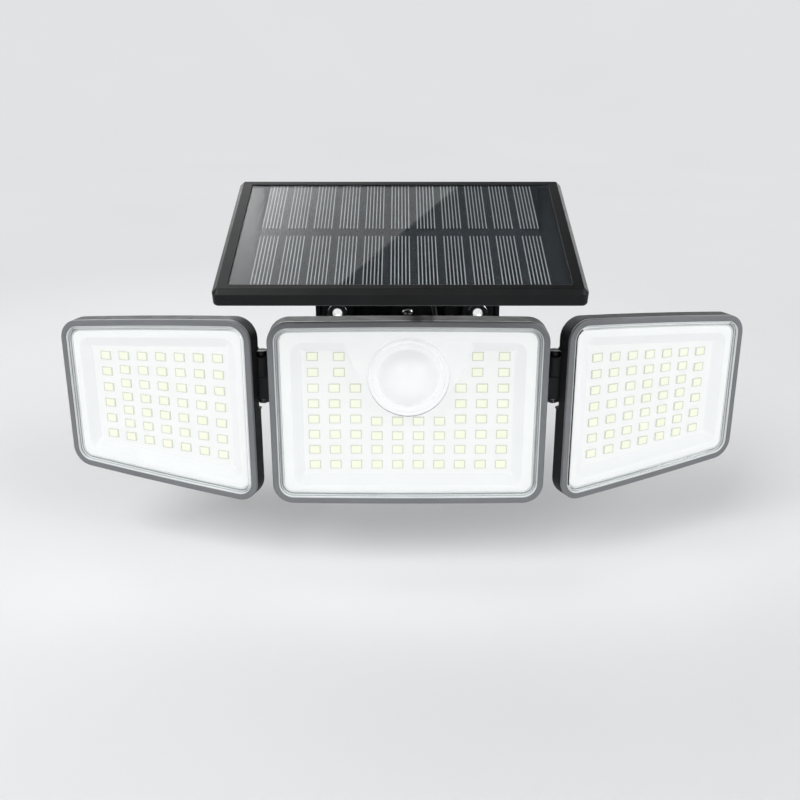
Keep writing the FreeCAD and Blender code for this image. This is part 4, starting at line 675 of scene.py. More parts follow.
@dataclass
class Palette:
    """Materials that have been made, each built once."""

    made: dict[Finishes, bpy.types.Material] = field(default_factory=dict)

    def get(self, finish: Finishes) -> bpy.types.Material:
        """The material of a finish.

        Args:
            finish: The finish.

        Returns:
            Its material, built at its first use.
        """
        if finish not in self.made:
            self.made[finish] = finish.value.build()
        return self.made[finish]

    def paint_nodes(self, nodes: dict[str, bpy.types.Object]) -> None:
        """Give every CAD node the finish of its material slot.

        Args:
            nodes: CAD objects by name.
        """
        for name, node in nodes.items():
            slot = node.data.materials[0].name if node.data.materials else "housing_abs"
            finish = NODE_FINISH.get(name) or SLOT_FINISH[slot.split(".")[0]]
            node.data.materials.clear()
            node.data.materials.append(self.get(finish))
            LOG.info("node %s takes %s", name, finish.value.name)


# ---------------------------------------------------------------- lamp heads
@dataclass(frozen=True)
class Rim:
    """Outline of a head seen from the front, with slanted and crowned long edges."""

    width: float
    height_left: float
    height_right: float
    corner: float = 11.0
    crown: float = 0.6
    middle_z: float = 0.0
    least_corner: float = 1.2

    def ring(self, inset: float, depth: float, corner_steps: int = 10, edge_steps: int = 12) -> list[Vector]:
        """Closed ring of points along the outline.

        Args:
            inset: How far the ring lies inside the outline.
            depth: Depth of the ring behind the rim.
            corner_steps: Spans of each corner.
            edge_steps: Spans of each long edge.

        Returns:
            The points, always the same number for the same steps.
        """
        half = self.width / 2 - inset
        slope = (self.height_right - self.height_left) / 2 / self.width
        mean = (self.height_left + self.height_right) / 4 - inset * math.hypot(1, slope)
        radius = max(self.corner - inset, self.least_corner)

        def top(x: float) -> float:
            """Height of the crowned top edge at x."""
            return mean + slope * x + self.crown * (1 - (x / half) ** 2)

        upper: list[Point] = []
        for side in (1, -1):
            steep = side * slope - 2 * self.crown / half
            centre_z = top(side * half) - steep * radius - radius * math.hypot(1, steep)
            turn = math.pi / 2 + math.atan(steep)
            arc = [(side * (half - radius + radius * math.cos(turn * i / corner_steps)),
                    centre_z + radius * math.sin(turn * i / corner_steps)) for i in range(corner_steps + 1)]
            if side > 0:
                upper += arc
            else:
                first, last = upper[-1][0], arc[-1][0]
                inner = [first + (last - first) * i / edge_steps for i in range(1, edge_steps)]
                upper += [(x, top(x)) for x in inner] + arc[::-1]
        lower = [(x, -z) for x, z in upper[::-1]]
        return [Vector((x, depth, z + self.middle_z)) for x, z in upper + lower]


@dataclass
class LampHead:
    """One lamp head: its front frame, white tray and LED packages."""

    name: str
    body: str
    rim: Rim
    opening: Rim
    place: Matrix
    led_places: list[Point]
    border: float = 3.2
    face_t: float = 2.0
    skirt: tuple[float, float] = (2.1, 3.0)
    skirt_depth: float = 4.15
    bead: Triple = (3.25, 3.65, 0.3)
    bead_back: float = 1.9
    bead_round: float = 0.18
    seal: Triple = (3.2, 6.0, 4.2)
    seal_front: float = 3.3
    bed_step: float = 0.5         # how far the seal's bed lies behind the tops of its lips
    lips: tuple[Point, ...] = ((3.75, 4.35), (5.35, 6.05))
    lip_round: float = 0.2
    tray_front: float = 3.4
    tray_edge: float = 6.2
    tray_round: float = 0.2
    tray_slope: float = 5.0
    tray_wall: float = 1.0
    # from the tray's flange down to the board: share of the slope, then inset and depth added to it
    slope_section: tuple[Triple, ...] = ((0.0, -0.5, 0.0), (0.0, 0.0, 0.1), (0.1, 0.1, 0.0),
                                         (0.9, 0.1, 0.0), (1.0, 0.4, -0.08), (1.0, 0.9, 0.0))
    shade_slope_lean: float = 0.93      # a face whose normal keeps less than this along Y is a slope, drawn in the painted shade
    board_depth: float = 7.5
    board_gap: float = 0.05

    def frame(self, palette: Palette) -> None:
        """Sweep the frame's rounded section round the rim.

        Args:
            palette: The materials.
        """
        outer, inner = self.skirt
        section = rounded_profile([
            (0.0, self.face_t, 0.15), (0.0, 0.0, 0.8),
            (self.border, 0.0, 0.35), (self.border, self.face_t, 0.1),
            (inner, self.face_t, 0.0), (inner, self.skirt_depth, 0.1), (outer, self.skirt_depth, 0.1),
            (outer, self.face_t, 0.0)], 5)
        shape = bmesh.new()
        bridge_rings(shape, [self.rim.ring(inset, depth) for inset, depth in section], True)
        piece = mesh_piece(f"{self.name}_front_frame", shape, self.place)
        dress(piece, self.body, palette.get(Finishes.RIM), [f"{self.name}_frame"])

    def gasket(self, palette: Palette) -> None:
        """Make the lens's seal: a grey bed in painted shade, with a light bead and two light lips in painted
        highlight.

        Args:
            palette: The materials.
        """
        outer, inner, back = self.seal
        bead_out, bead_in, bead_front = self.bead
        low, high = self.seal_front + self.bed_step, self.seal_front
        soft, lip_soft = self.bead_round, self.lip_round
        bed = [(outer, back, 0.0), (outer, low, 0.0), (inner, low, 0.0), (inner, back, 0.0)]
        raised = [[(bead_out, self.bead_back, 0.0), (bead_out, bead_front, soft),
                   (bead_in, bead_front, soft), (bead_in, self.bead_back, 0.0)]]
        for start, end in self.lips:
            raised.append([(start, low, 0.0), (start, high, lip_soft),
                           (end, high, lip_soft), (end, low, 0.0)])
        shape = bmesh.new()
        # the bed takes the painted shade, the bead and lips the painted highlight
        for index, corners in enumerate([bed] + raised):
            first = len(shape.faces)
            bridge_rings(shape, [self.rim.ring(i, d) for i, d in rounded_profile(corners, 3)], True)
            shape.faces.ensure_lookup_table()
            for face in shape.faces[first:]:
                face.material_index = min(index, 1)
        piece = mesh_piece(f"{self.name}_lens_seal", shape, self.place)
        for finish in (Finishes.GASKET_PAINTED_SHADE, Finishes.LIPS_PAINTED_HIGHLIGHT):
            piece.data.materials.append(palette.get(finish))
        dress(piece, self.body, palette.get(Finishes.GASKET_PAINTED_SHADE), [f"{self.name}_gasket"])

    def tray_shape(self) -> bmesh.types.BMesh:
        """White tray: a flat flange, and an opening that slopes softly down to the board.

        Returns:
            The tray's mesh.
        """
        front, back, edge = self.tray_front, self.board_depth - self.board_gap, self.tray_edge
        slope, wall, soft = self.tray_slope, self.tray_wall, self.tray_round
        rings = [self.rim.ring(edge, front + wall), self.rim.ring(edge, front + soft),
                 self.rim.ring(edge + soft, front)]
        rings += [self.opening.ring(slope * share + inset, front + (back - front) * share + depth)
                  for share, inset, depth in self.slope_section]
        rings += [self.opening.ring(slope - wall, back), self.opening.ring(-wall, front + wall)]
        shape = bmesh.new()
        bridge_rings(shape, rings, True)
        return shape

    def tray(self, palette: Palette) -> None:
        """Make the white tray, with a painted shade on its slopes.

        Args:
            palette: The materials.
        """
        shape = self.tray_shape()
        shape.normal_update()
        # sloped faces take the darker copy of the white: painted shade
        for tray_face in shape.faces:
            tray_face.material_index = int(abs(tray_face.normal.y) < self.shade_slope_lean)
        piece = mesh_piece(f"{self.name}_white_tray", shape, self.place, 60.0)
        for finish in (Finishes.REFLECTOR, Finishes.SLOPE_PAINTED_SHADE):
            piece.data.materials.append(palette.get(finish))
        dress(piece, self.body, palette.get(Finishes.REFLECTOR), [f"{self.name}_reflector"])

    def leds(self, palette: Palette, pattern: Pattern) -> None:
        """Put the LED packages on their board.

        Args:
            palette: The materials.
            pattern: The LED package's tree.
        """
        points = [Vector((x, self.board_depth, z)) for x, z in self.led_places]
        piece = pattern.bake(f"{self.name}_led_packages", points, self.place)
        dress(piece, self.body, palette.get(Finishes.PACKAGE), [f"{self.name}_leds"])

    def build(self, palette: Palette, pattern: Pattern) -> None:
        """Build the head's own pieces.

        Args:
            palette: The materials.
            pattern: The LED package's tree.
        """
        self.frame(palette)
        self.gasket(palette)
        self.tray(palette)
        self.leds(palette, pattern)


def led_pattern(palette: Palette) -> Pattern:
    """Tree of the LED packages: a box with a sunk window of phosphor in its front.

    Args:
        palette: The materials.

    Returns:
        The tree, for points on the board's face.
    """
    pattern = Pattern("led_package", {"Width": 6.0, "Thickness": 0.9, "Height": 4.7, "Window Depth": -0.12,
                                      "Window Share": 0.86, "Window Floor Share": 0.97})
    size = pattern.inlet.outputs
    body = pattern.box(pattern.vector(size["Width"], size["Thickness"], size["Height"]),
                       pattern.vector(0.0, pattern.math("MULTIPLY", size["Thickness"], -0.5), 0.0))
    shape, front = pattern.inset(body, pattern.facing((0.0, -1.0, 0.0)), 0.0, size["Window Share"])
    shape, window = pattern.inset(shape, front, size["Window Depth"], size["Window Floor Share"])
    shape = pattern.mark(shape, "window", window)
    pattern.close(shape, palette.get(Finishes.PACKAGE), {"window": palette.get(Finishes.PHOSPHOR)})
    return pattern


@dataclass
class CentreHead(LampHead):
    """Centre head, whose tray has a raised V that carries the motion sensor."""

    dome_z: float = 20.5
    dome_r: float = 16.0
    dome_rise: float = 10.0
    dome_base: float = 0.8
    seat_r: float = 14.0
    ring_r: float = 21.0
    groove_r: float = 19.1
    vee_top: float = 33.0
    vee_knee: Point = (23.2, 15.0)
    vee_disc: float = 21.6
    vee_tuck: Point = (0.4, 1.0)  # how far the V's top corners run on under the flange
    vee_lift: float = 0.02        # how far the V stands in front of the flange
    vee_steps: int = 8
    disc_steps: int = 40
    # the V's side: growth at its top and round its disc, share of its depth and depth added to it
    vee_section: tuple[tuple[float, float, float, float], ...] = (
        (-0.5, -0.4, 0.0, 0.0), (-0.1, -0.05, 0.0, 0.1), (0.3, 0.1, 0.0, 0.5),
        (2.9, 0.7, 1.0, -0.3), (3.4, 0.9, 1.0, 0.0))
    dome_wall: float = 1.0
    dome_foot: float = 1.6
    ring_gap: float = 0.3
    ring_edge: float = 0.9
    ring_lip: float = -0.4
    # the ring beside its groove: radius beyond the groove's, depth and rounding
    groove_section: tuple[Triple, ...] = ((0.9, 0.3, 0.3), (0.45, 0.3, 0.1), (0.3, 1.9, 0.1),
                                          (-0.5, 1.9, 0.1), (-0.7, -0.4, 0.3))

    def vee_ring(self, grow_top: float, grow_low: float, depth: float) -> list[Vector]:
        """Ring of points round the raised V.

        Args:
            grow_top: How far the sides stand outside the V at its top.
            grow_low: The same round the disc below.
            depth: Depth of the ring.

        Returns:
            The points, from the right end of the top edge clockwise.
        """
        disc = self.vee_disc + grow_low
        knee_x, knee_z = self.vee_knee[0] + grow_low, self.vee_knee[1]
        reach = math.hypot(knee_x, knee_z - self.dome_z)
        start = math.atan2(knee_z - self.dome_z, knee_x) - math.acos(min(1.0, disc / reach))
        top_x, top_z = self.vee_top + grow_top, self.opening.height_left / 2 + self.opening.middle_z
        right = [(top_x + self.vee_tuck[0], top_z + self.vee_tuck[1]), (top_x, top_z)]
        for step in range(1, self.vee_steps + 1):
            share = step / self.vee_steps
            right.append((top_x + (knee_x - top_x) * share, top_z + (knee_z - top_z) * share))
        for step in range(self.disc_steps + 1):
            angle = start + (-math.pi / 2 - start) * step / self.disc_steps
            right.append((disc * math.cos(angle), self.dome_z + disc * math.sin(angle)))
        left = [(-x, z) for x, z in right[-2::-1]]
        return [Vector((x, depth, z)) for x, z in right + left]

    def tray_shape(self) -> bmesh.types.BMesh:
        """The tray of every head, and the V with soft sides and the bore of the sensor.

        Returns:
            The mesh.
        """
        shape = super().tray_shape()
        front, back = self.tray_front - self.vee_lift, self.board_depth - self.board_gap
        rings = [self.vee_ring(top, low, front + (back - front) * share + depth)
                 for top, low, share, depth in self.vee_section]
        bridge_rings(shape, rings, False)
        count = len(rings[0])
        shape.verts.ensure_lookup_table()
        first = len(shape.verts) - len(rings) * count
        rim_edge = [shape.verts[first + i] for i in range(count)]
        bore = []
        for vertex in rim_edge:
            way = Vector((vertex.co.x, 0.0, vertex.co.z - self.dome_z)).normalized()
            bore.append([shape.verts.new(Vector((0.0, depth, self.dome_z)) + way * self.seat_r)
                         for depth in (front, back)])
        for i in range(count):
            j = (i + 1) % count
            shape.faces.new((rim_edge[i], rim_edge[j], bore[j][0], bore[i][0]))
            shape.faces.new((bore[i][0], bore[j][0], bore[j][1], bore[i][1]))
        return shape

    def sensor(self, palette: Palette) -> None:
        """Turn the sensor's frosted dome and the grooved ring round it.

        Args:
            palette: The materials.
        """
        centre = Vector((0.0, 0.0, self.dome_z))
        ball = (self.dome_r ** 2 + self.dome_rise ** 2) / (2 * self.dome_rise)
        crown_y = self.dome_base - self.dome_rise
        wide = math.asin(self.dome_r / ball)

        def cap(radius: float, steps: int = 28) -> list[Point]:
            """Radius and depth along the dome's curve, from its crown to its foot."""
            turns = [wide * i / steps for i in range(steps + 1)]
            return [(radius * math.sin(a), crown_y + ball - radius * math.cos(a)) for a in turns]

        outer, inner = cap(ball), cap(ball - self.dome_wall)
        foot = rounded_profile([(self.dome_r, self.dome_base, 0.4), (self.dome_r, self.tray_front, 0.1),
                                (self.dome_r - self.dome_foot, self.tray_front, 0.1),
                                inner[-1] + (0.0,)], 3)[1:-1]
        shape = bmesh.new()
        lathe(shape, outer[:-1] + foot + inner[::-1], False, centre)
        dome = mesh_piece("sensor_frosted_dome", shape, self.place, 50.0)
        dress(dome, self.body, palette.get(Finishes.DOME), ["sensor_dome"])
        hole, edge = self.dome_r + self.ring_gap, self.ring_r
        section = rounded_profile([
            (hole, self.tray_front, 0.0), (edge, self.tray_front, 0.0), (edge, self.ring_edge, 0.3),
            *((self.groove_r + beyond, depth, soft) for beyond, depth, soft in self.groove_section),
            (hole, self.ring_lip, 0.3)], 4)
        shape = bmesh.new()
        lathe(shape, section, True, centre, 128)
        ring = mesh_piece("sensor_grooved_ring", shape, self.place, 50.0)
        dress(ring, self.body, palette.get(Finishes.RING), ["sensor_ring"])

    def build(self, palette: Palette, pattern: Pattern) -> None:
        """Build the head's own pieces and the sensor.

        Args:
            palette: The materials.
            pattern: The LED package's tree.
        """
        super().build(palette, pattern)
        self.sensor(palette)


@dataclass(frozen=True)
class HeadLeds:
    """Grid of the centre head's 60 LEDs, whose rows part round the motion sensor."""

    across: float = 11.0
    down: float = 8.6
    top_z: float = 30.4
    rows: int = 8
    columns: int = 5              # on each side of the middle
    rows_beside_vee: int = 2      # top rows, with two LEDs on each side
    rows_beside_disc: int = 2     # rows below them, with three
    beside_vee: float = 35.8      # x of the inner LED of the top rows
    skipped: int = 2              # columns that the disc hides or pushes down
    drops: Point = (1.2, 0.8)     # how far the next two rows sink under the disc

    def places(self) -> list[Point]:
        """Place of each LED on the board.

        Returns:
            X and Z of each.
        """
        columns = [(i + 0.5) * self.across for i in range(self.columns)]
        full_from = self.rows_beside_vee + self.rows_beside_disc
        places: list[Point] = []
        for row in range(self.rows):
            height = self.top_z - row * self.down
            kept = columns
            if row < self.rows_beside_vee:
                kept = [self.beside_vee, columns[-1]]
            elif row < full_from:
                kept = columns[self.skipped:]
            sinks = full_from <= row < full_from + len(self.drops)
            for x in kept:
                drop = self.drops[row - full_from] if sinks and x < columns[self.skipped] else 0.0
                places += [(x, height - drop), (-x, height - drop)]
        return places


@dataclass(frozen=True)
class Wing:
    """One wing head, which is taller at its hinge than at its outer end, with 48 LEDs."""

    name: str
    side: int                     # 1 for the right wing, -1 for the left
    yaw: float                    # turn about the fold axis, in degrees
    led_shift: Point              # how far its LEDs stand inwards and down
    width: float = 113.0
    inner_height: float = 101.5
    outer_height: float = 82.5
    opening_half: Point = (46.5, 36.0)
    fold_axis: Point = (76.7, -59.5)
    middle_x: float = 132.7
    led_across: float = 11.3
    led_columns: int = 7
    led_rows: int = 7
    outer_rows: int = 6           # the outermost column has one LED less
    led_top: float = 25.7
    led_reach: float = 49.8       # from a column's top LED to its lowest
    led_fan: float = 0.0027       # share that a column loses per millimetre outwards

    def led_places(self) -> list[Point]:
        """Place of each LED on the board, in columns that spread towards the hinge.

        Returns:
            X and Z of each.
        """
        inwards, down = self.led_shift
        places: list[Point] = []
        for column in range(self.led_columns):
            x = (column - (self.led_columns - 1) / 2) * self.led_across
            rows = self.outer_rows if column == self.led_columns - 1 else self.led_rows
            for row in range(rows):
                z = (self.led_top - row * self.led_reach / (rows - 1)) * (1 - self.led_fan * x)
                places.append((self.side * (x - inwards), z - down))
        return places

    def place(self) -> Matrix:
        """Place of the wing's frame, turned about its fold axis.

        Returns:
            The matrix, in millimetres.
        """
        axis = Vector((self.side * self.fold_axis[0], self.fold_axis[1], 0.0))
        turn = Matrix.Rotation(math.radians(self.yaw), 4, "Z")
        middle = Matrix.Translation((self.side * self.middle_x, *HEAD_MIDDLE[1:]))
        return Matrix.Translation(axis) @ turn @ Matrix.Translation(-axis) @ middle

    def head(self) -> LampHead:
        """The wing as a lamp head.

        Returns:
            The head, ready to build.
        """
        left, right = (self.inner_height, self.outer_height)[::self.side]
        slope = (right - left) / (2 * self.width)
        half, mean = self.opening_half
        opening = Rim(2 * half, 2 * (mean - slope * half), 2 * (mean + slope * half),
                      OPENING_CORNER, OPENING_CROWN)
        return LampHead(self.name, self.name, Rim(self.width, left, right), opening, self.place(),
                        self.led_places())


def lamp_heads() -> list[LampHead]:
    """The centre head and both wings, with their sizes.

    Returns:
        The three heads.
    """
    opening = Rim(121.0, 79.2, 79.2, OPENING_CORNER, OPENING_CROWN, middle_z=-1.1)
    centre = CentreHead("head", "head", Rim(144.0, 100.0, 100.0), opening, Matrix.Translation(HEAD_MIDDLE),
                        HeadLeds().places())
    wings = [Wing("left_wing", -1, -18.0, (0.9, 0.8)), Wing("right_wing", 1, 24.0, (1.4, 1.1))]
    return [centre] + [wing.head() for wing in wings]


# ---------------------------------------------------------------- solar panel
@dataclass
class SolarPanel:
    """Solar panel: its silicon strips with printed fingers, drawn about the tilt axis."""

    tilt: float = 19.0
    axis: Triple = (-4.15, -58.5, 38.3)
    wafer_top: float = 19.04
    wafer_t: float = 0.22
    columns: int = 11
    pitch: Point = (12.9, 53.2)
    strip: Point = (9.2, 45.8)
    fingers: int = 6
    finger_pitch: float = 1.73
    finger_w: float = 0.52
    finger_t: float = 0.03

    def place(self) -> Matrix:
        """Place of the panel's frame in the light."""
        return Matrix.Translation(self.axis) @ Matrix.Rotation(math.radians(self.tilt), 4, "X")

    def cells(self, palette: Palette) -> None:
        """Lay out the silicon strips, each with its printed fingers.

        Args:
            palette: The materials.
        """
        width, length = self.strip
        pattern = Pattern("solar_strip", {"Width": width, "Length": length, "Thickness": self.wafer_t,
                                          "Fingers": self.fingers, "Finger Pitch": self.finger_pitch,
                                          "Finger Width": self.finger_w, "Finger Height": self.finger_t})
        size = pattern.inlet.outputs
        wafer = pattern.box(pattern.vector(size["Width"], size["Length"], size["Thickness"]),
                            pattern.vector(0.0, 0.0, pattern.math("MULTIPLY", size["Thickness"], -0.5)))
        span = pattern.math("MULTIPLY", size["Finger Pitch"], pattern.math("SUBTRACT", size["Fingers"], 1.0))
        line = pattern.add("GeometryNodeMeshLine", {
            "Count": size["Fingers"], "Offset": pattern.vector(size["Finger Pitch"]),
            "Start Location": pattern.vector(pattern.math("MULTIPLY", span, -0.5))}).outputs[0]
        finger = pattern.box(
            pattern.vector(size["Finger Width"], size["Length"], size["Finger Height"]),
            pattern.vector(0.0, 0.0, pattern.math("MULTIPLY", size["Finger Height"], 0.5)))
        fingers = pattern.add("GeometryNodeInstanceOnPoints", {"Points": line, "Instance": finger}).outputs[0]
        fingers = pattern.add("GeometryNodeRealizeInstances", {"Geometry": fingers}).outputs[0]
        fingers = pattern.mark(fingers, "silver", True)
        joined = pattern.add("GeometryNodeJoinGeometry")
        for part in (wafer, fingers):
            pattern.tree.links.new(part, joined.inputs[0])
        pattern.close(joined.outputs[0], palette.get(Finishes.SILICON),
                      {"silver": palette.get(Finishes.FINGER)})
        across, along = self.pitch
        middle = (self.columns - 1) / 2
        points = [Vector(((column - middle) * across, row * along / 2, self.wafer_top))
                  for column in range(self.columns) for row in (-1, 1)]
        piece = pattern.bake("solar_strips", points, self.place())
        dress(piece, "panel", palette.get(Finishes.SILICON), ["solar_cells"])

    def build(self, palette: Palette) -> None:
        """Build the panel's own pieces."""
        self.cells(palette)


# ---------------------------------------------------------------- bracket, screws and lead
@dataclass
class Ferrules:
    """Bright flanged ferrules in the wall plate's two holes."""

    spacing: float = 80.0
    bore: float = 2.6
    tube: float = 4.0
    flange: float = 5.8
    front: float = -5.5
    flange_t: float = 1.0

    def build(self, palette: Palette) -> None:
        """Turn both ferrules.

        Args:
            palette: The materials.
        """
        face = self.front - self.flange_t
        section = rounded_profile([
            (self.bore, 0.0, 0.1), (self.bore, face, 0.55),
            (self.flange, face, 0.4), (self.flange, self.front, 0.1),
            (self.tube, self.front, 0.0), (self.tube, 0.0, 0.1)], 4)
        shape = bmesh.new()
        for side in (-1, 1):
            lathe(shape, section, True, Vector((side * self.spacing / 2, 0.0, 0.0)), 64)
        piece = mesh_piece("bright_ferrules", shape, Matrix.Identity(4), 50.0)
        dress(piece, "bracket", palette.get(Finishes.BRIGHT_STEEL), ["hole_ferrules"])


@dataclass
class ScrewSet:
    """Pan head screws with a cross recess, all of one size."""

    name: str
    body: str
    node: str
    finish: Finishes
    slot: str
    place: Matrix
    seats: list[Point]
    radius: float
    head_r: float
    head_t: float
    length: float
    crown: tuple[Point, ...] = ((0.28, 0.9), (0.16, 0.8), (0.06, 0.6))  # rise and width left, as shares
    recess: Point = (0.24, 0.7)   # width and depth, as shares of the head's radius and height
    recess_reach: float = 1.25    # length of its arms, as a share of the head's radius
    head_sides: int = 28
    shank_sides: int = 20

    def build(self, palette: Palette) -> None:
        """Make the screws, with the head's underside at z = 0 and the head upwards.

        Args:
            palette: The materials.
        """
        pattern = Pattern(f"{self.name}_screw", {
            "Shank Radius": self.radius, "Shank Length": self.length, "Head Radius": self.head_r,
            "Head Height": self.head_t, "Recess Width": self.head_r * self.recess[0],
            "Recess Depth": self.head_t * self.recess[1]})
        size = pattern.inlet.outputs
        disc = pattern.add("GeometryNodeMeshCylinder", {
            "Vertices": self.head_sides, "Radius": size["Head Radius"],
            "Depth": pattern.math("MULTIPLY", size["Head Height"], 0.5)}).outputs["Mesh"]
        head = pattern.add("GeometryNodeTransform", {"Geometry": disc, "Translation": pattern.vector(
            0.0, 0.0, pattern.math("MULTIPLY", size["Head Height"], 0.25))}).outputs[0]
        chosen = pattern.facing((0.0, 0.0, 1.0))
        for rise, share in self.crown:
            step = pattern.math("MULTIPLY", size["Head Height"], rise)
            head, chosen = pattern.inset(head, chosen, step, share)
        cut = pattern.add("GeometryNodeMeshBoolean", {"Mesh 1": head}, operation="DIFFERENCE")
        reach, width = pattern.math("MULTIPLY", size["Head Radius"], self.recess_reach), size["Recess Width"]
        depth = pattern.math("MULTIPLY", size["Recess Depth"], 2.0)
        for across, along in ((reach, width), (width, reach)):
            cutter = pattern.box(pattern.vector(across, along, depth),
                                 pattern.vector(0.0, 0.0, size["Head Height"]))
            pattern.tree.links.new(cutter, cut.inputs["Mesh 2"])
        rod = pattern.add("GeometryNodeMeshCylinder", {
            "Vertices": self.shank_sides, "Radius": size["Shank Radius"],
            "Depth": size["Shank Length"]}).outputs["Mesh"]
        shank = pattern.add("GeometryNodeTransform", {"Geometry": rod, "Translation": pattern.vector(
            0.0, 0.0, pattern.math("MULTIPLY", size["Shank Length"], -0.5))}).outputs[0]
        joined = pattern.add("GeometryNodeJoinGeometry")
        for part in (cut.outputs["Mesh"], shank):
            pattern.tree.links.new(part, joined.inputs[0])
        material = palette.get(self.finish)
        pattern.close(joined.outputs[0], material, {})
        piece = pattern.bake(self.name, [Vector((x, y, 0.0)) for x, y in self.seats], self.place, 40.0)
        dress(piece, self.body, material, [self.node])


def screw_sets(panel: Matrix) -> list[ScrewSet]:
    """Screws of the rear cover, of the panel's back and of the arm's foot.

    Args:
        panel: Place of the panel's frame.

    Returns:
        The three sets.
    """
    back_y, foot_y, floor_z = 33.0, -9.5, 12.0
    to_back = (Matrix.Translation(HEAD_MIDDLE) @ Matrix.Translation((0.0, back_y, 0.0))
               @ Matrix.Rotation(math.radians(-90), 4, "X"))
    to_front = Matrix.Translation((0.0, foot_y, 0.0)) @ Matrix.Rotation(math.radians(90), 4, "X")
    to_floor = panel @ Matrix.Translation((0.0, 0.0, floor_z)) @ Matrix.Rotation(math.radians(180), 4, "X")
    back_x, back_rows = 44.6, (28.6, -2.0, -32.6)
    floor_x, floor_rows = 79.0, (-48.5, 0.0, 48.5)
    foot_seats = [(0.0, 1.2), (-5.0, 15.0)]
    return [
        ScrewSet("rear_cover_screws", "head", "head_cover_screws", Finishes.BLACK_STEEL, "black_steel",
                 to_back, [(side * back_x, -z) for side in (-1, 1) for z in back_rows],
                 radius=1.5, head_r=3.0, head_t=1.6, length=9.0),
        ScrewSet("panel_back_screws", "panel", "panel_screws", Finishes.BLACK_STEEL, "black_steel", to_floor,
                 [(side * floor_x, y) for side in (-1, 1) for y in floor_rows],
                 radius=1.2, head_r=2.4, head_t=1.4, length=4.2),
        ScrewSet("arm_foot_screws", "bracket", "arm_screws", Finishes.BRIGHT_STEEL, "bright_steel", to_front,
                 foot_seats, radius=1.75, head_r=3.4, head_t=2.2, length=8.3),
    ]


@dataclass
class Lead:
    """One stretch of the lead that runs between two bodies."""

    name: str
    node: str
    bodies: tuple[str, str]
    route: list[Triple]
    radius: float = 1.25
    spans: int = 16
    round_steps: int = 6

    def build(self, palette: Palette) -> None:
        """Sweep the lead's round section along a smooth spline.

        Args:
            palette: The materials.
        """
        data = bpy.data.curves.new(self.name, "CURVE")
        data.dimensions = "3D"
        data.resolution_u = self.spans
        data.bevel_depth = self.radius * MM
        data.bevel_resolution = self.round_steps
        data.use_fill_caps = True
        spline = data.splines.new("NURBS")
        spline.points.add(len(self.route) - 1)
        for point, (x, y, z) in zip(spline.points, self.route):
            point.co = (x * MM, y * MM, z * MM, 1.0)
        spline.order_u = 3
        spline.use_endpoint_u = True
        curve = bpy.data.objects.new(self.name, data)
        bpy.context.scene.collection.objects.link(curve)
        bpy.context.view_layer.update()
        graph = bpy.context.evaluated_depsgraph_get()
        mesh = bpy.data.meshes.new_from_object(curve.evaluated_get(graph))
        bpy.data.objects.remove(curve)
        piece = bpy.data.objects.new(self.name, mesh)
        bpy.context.scene.collection.objects.link(piece)
        mesh.shade_smooth()
        mesh.set_sharp_from_angle(angle=math.radians(50.0))
        mesh.materials.clear()
        mesh.materials.append(palette.get(Finishes.JACKET))
        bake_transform(piece)
        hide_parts(self.node)
        LOG.info("%s runs from %s to %s: %d faces", piece.name, *self.bodies, len(mesh.polygons))


def leads() -> list[Lead]:
    """Both stretches of the lead, which meet in the arm's clip.

    Returns:
        The upper and the lower stretch.
    """
    clip = (11.6, -38.1, 33.9)
    return [
        Lead("lead_to_panel", "panel_lead", ("panel", "bracket"),
             [(11.6, -39.1, 49.6), (11.6, -36.5, 42.0), clip]),
        Lead("lead_to_head", "head_lead", ("bracket", "head"),
             [clip, (11.6, -39.6, 26.3), (12.1, -42.4, 18.4), (14.6, -47.0, 10.2), (14.6, -47.0, 2.9)]),
    ]


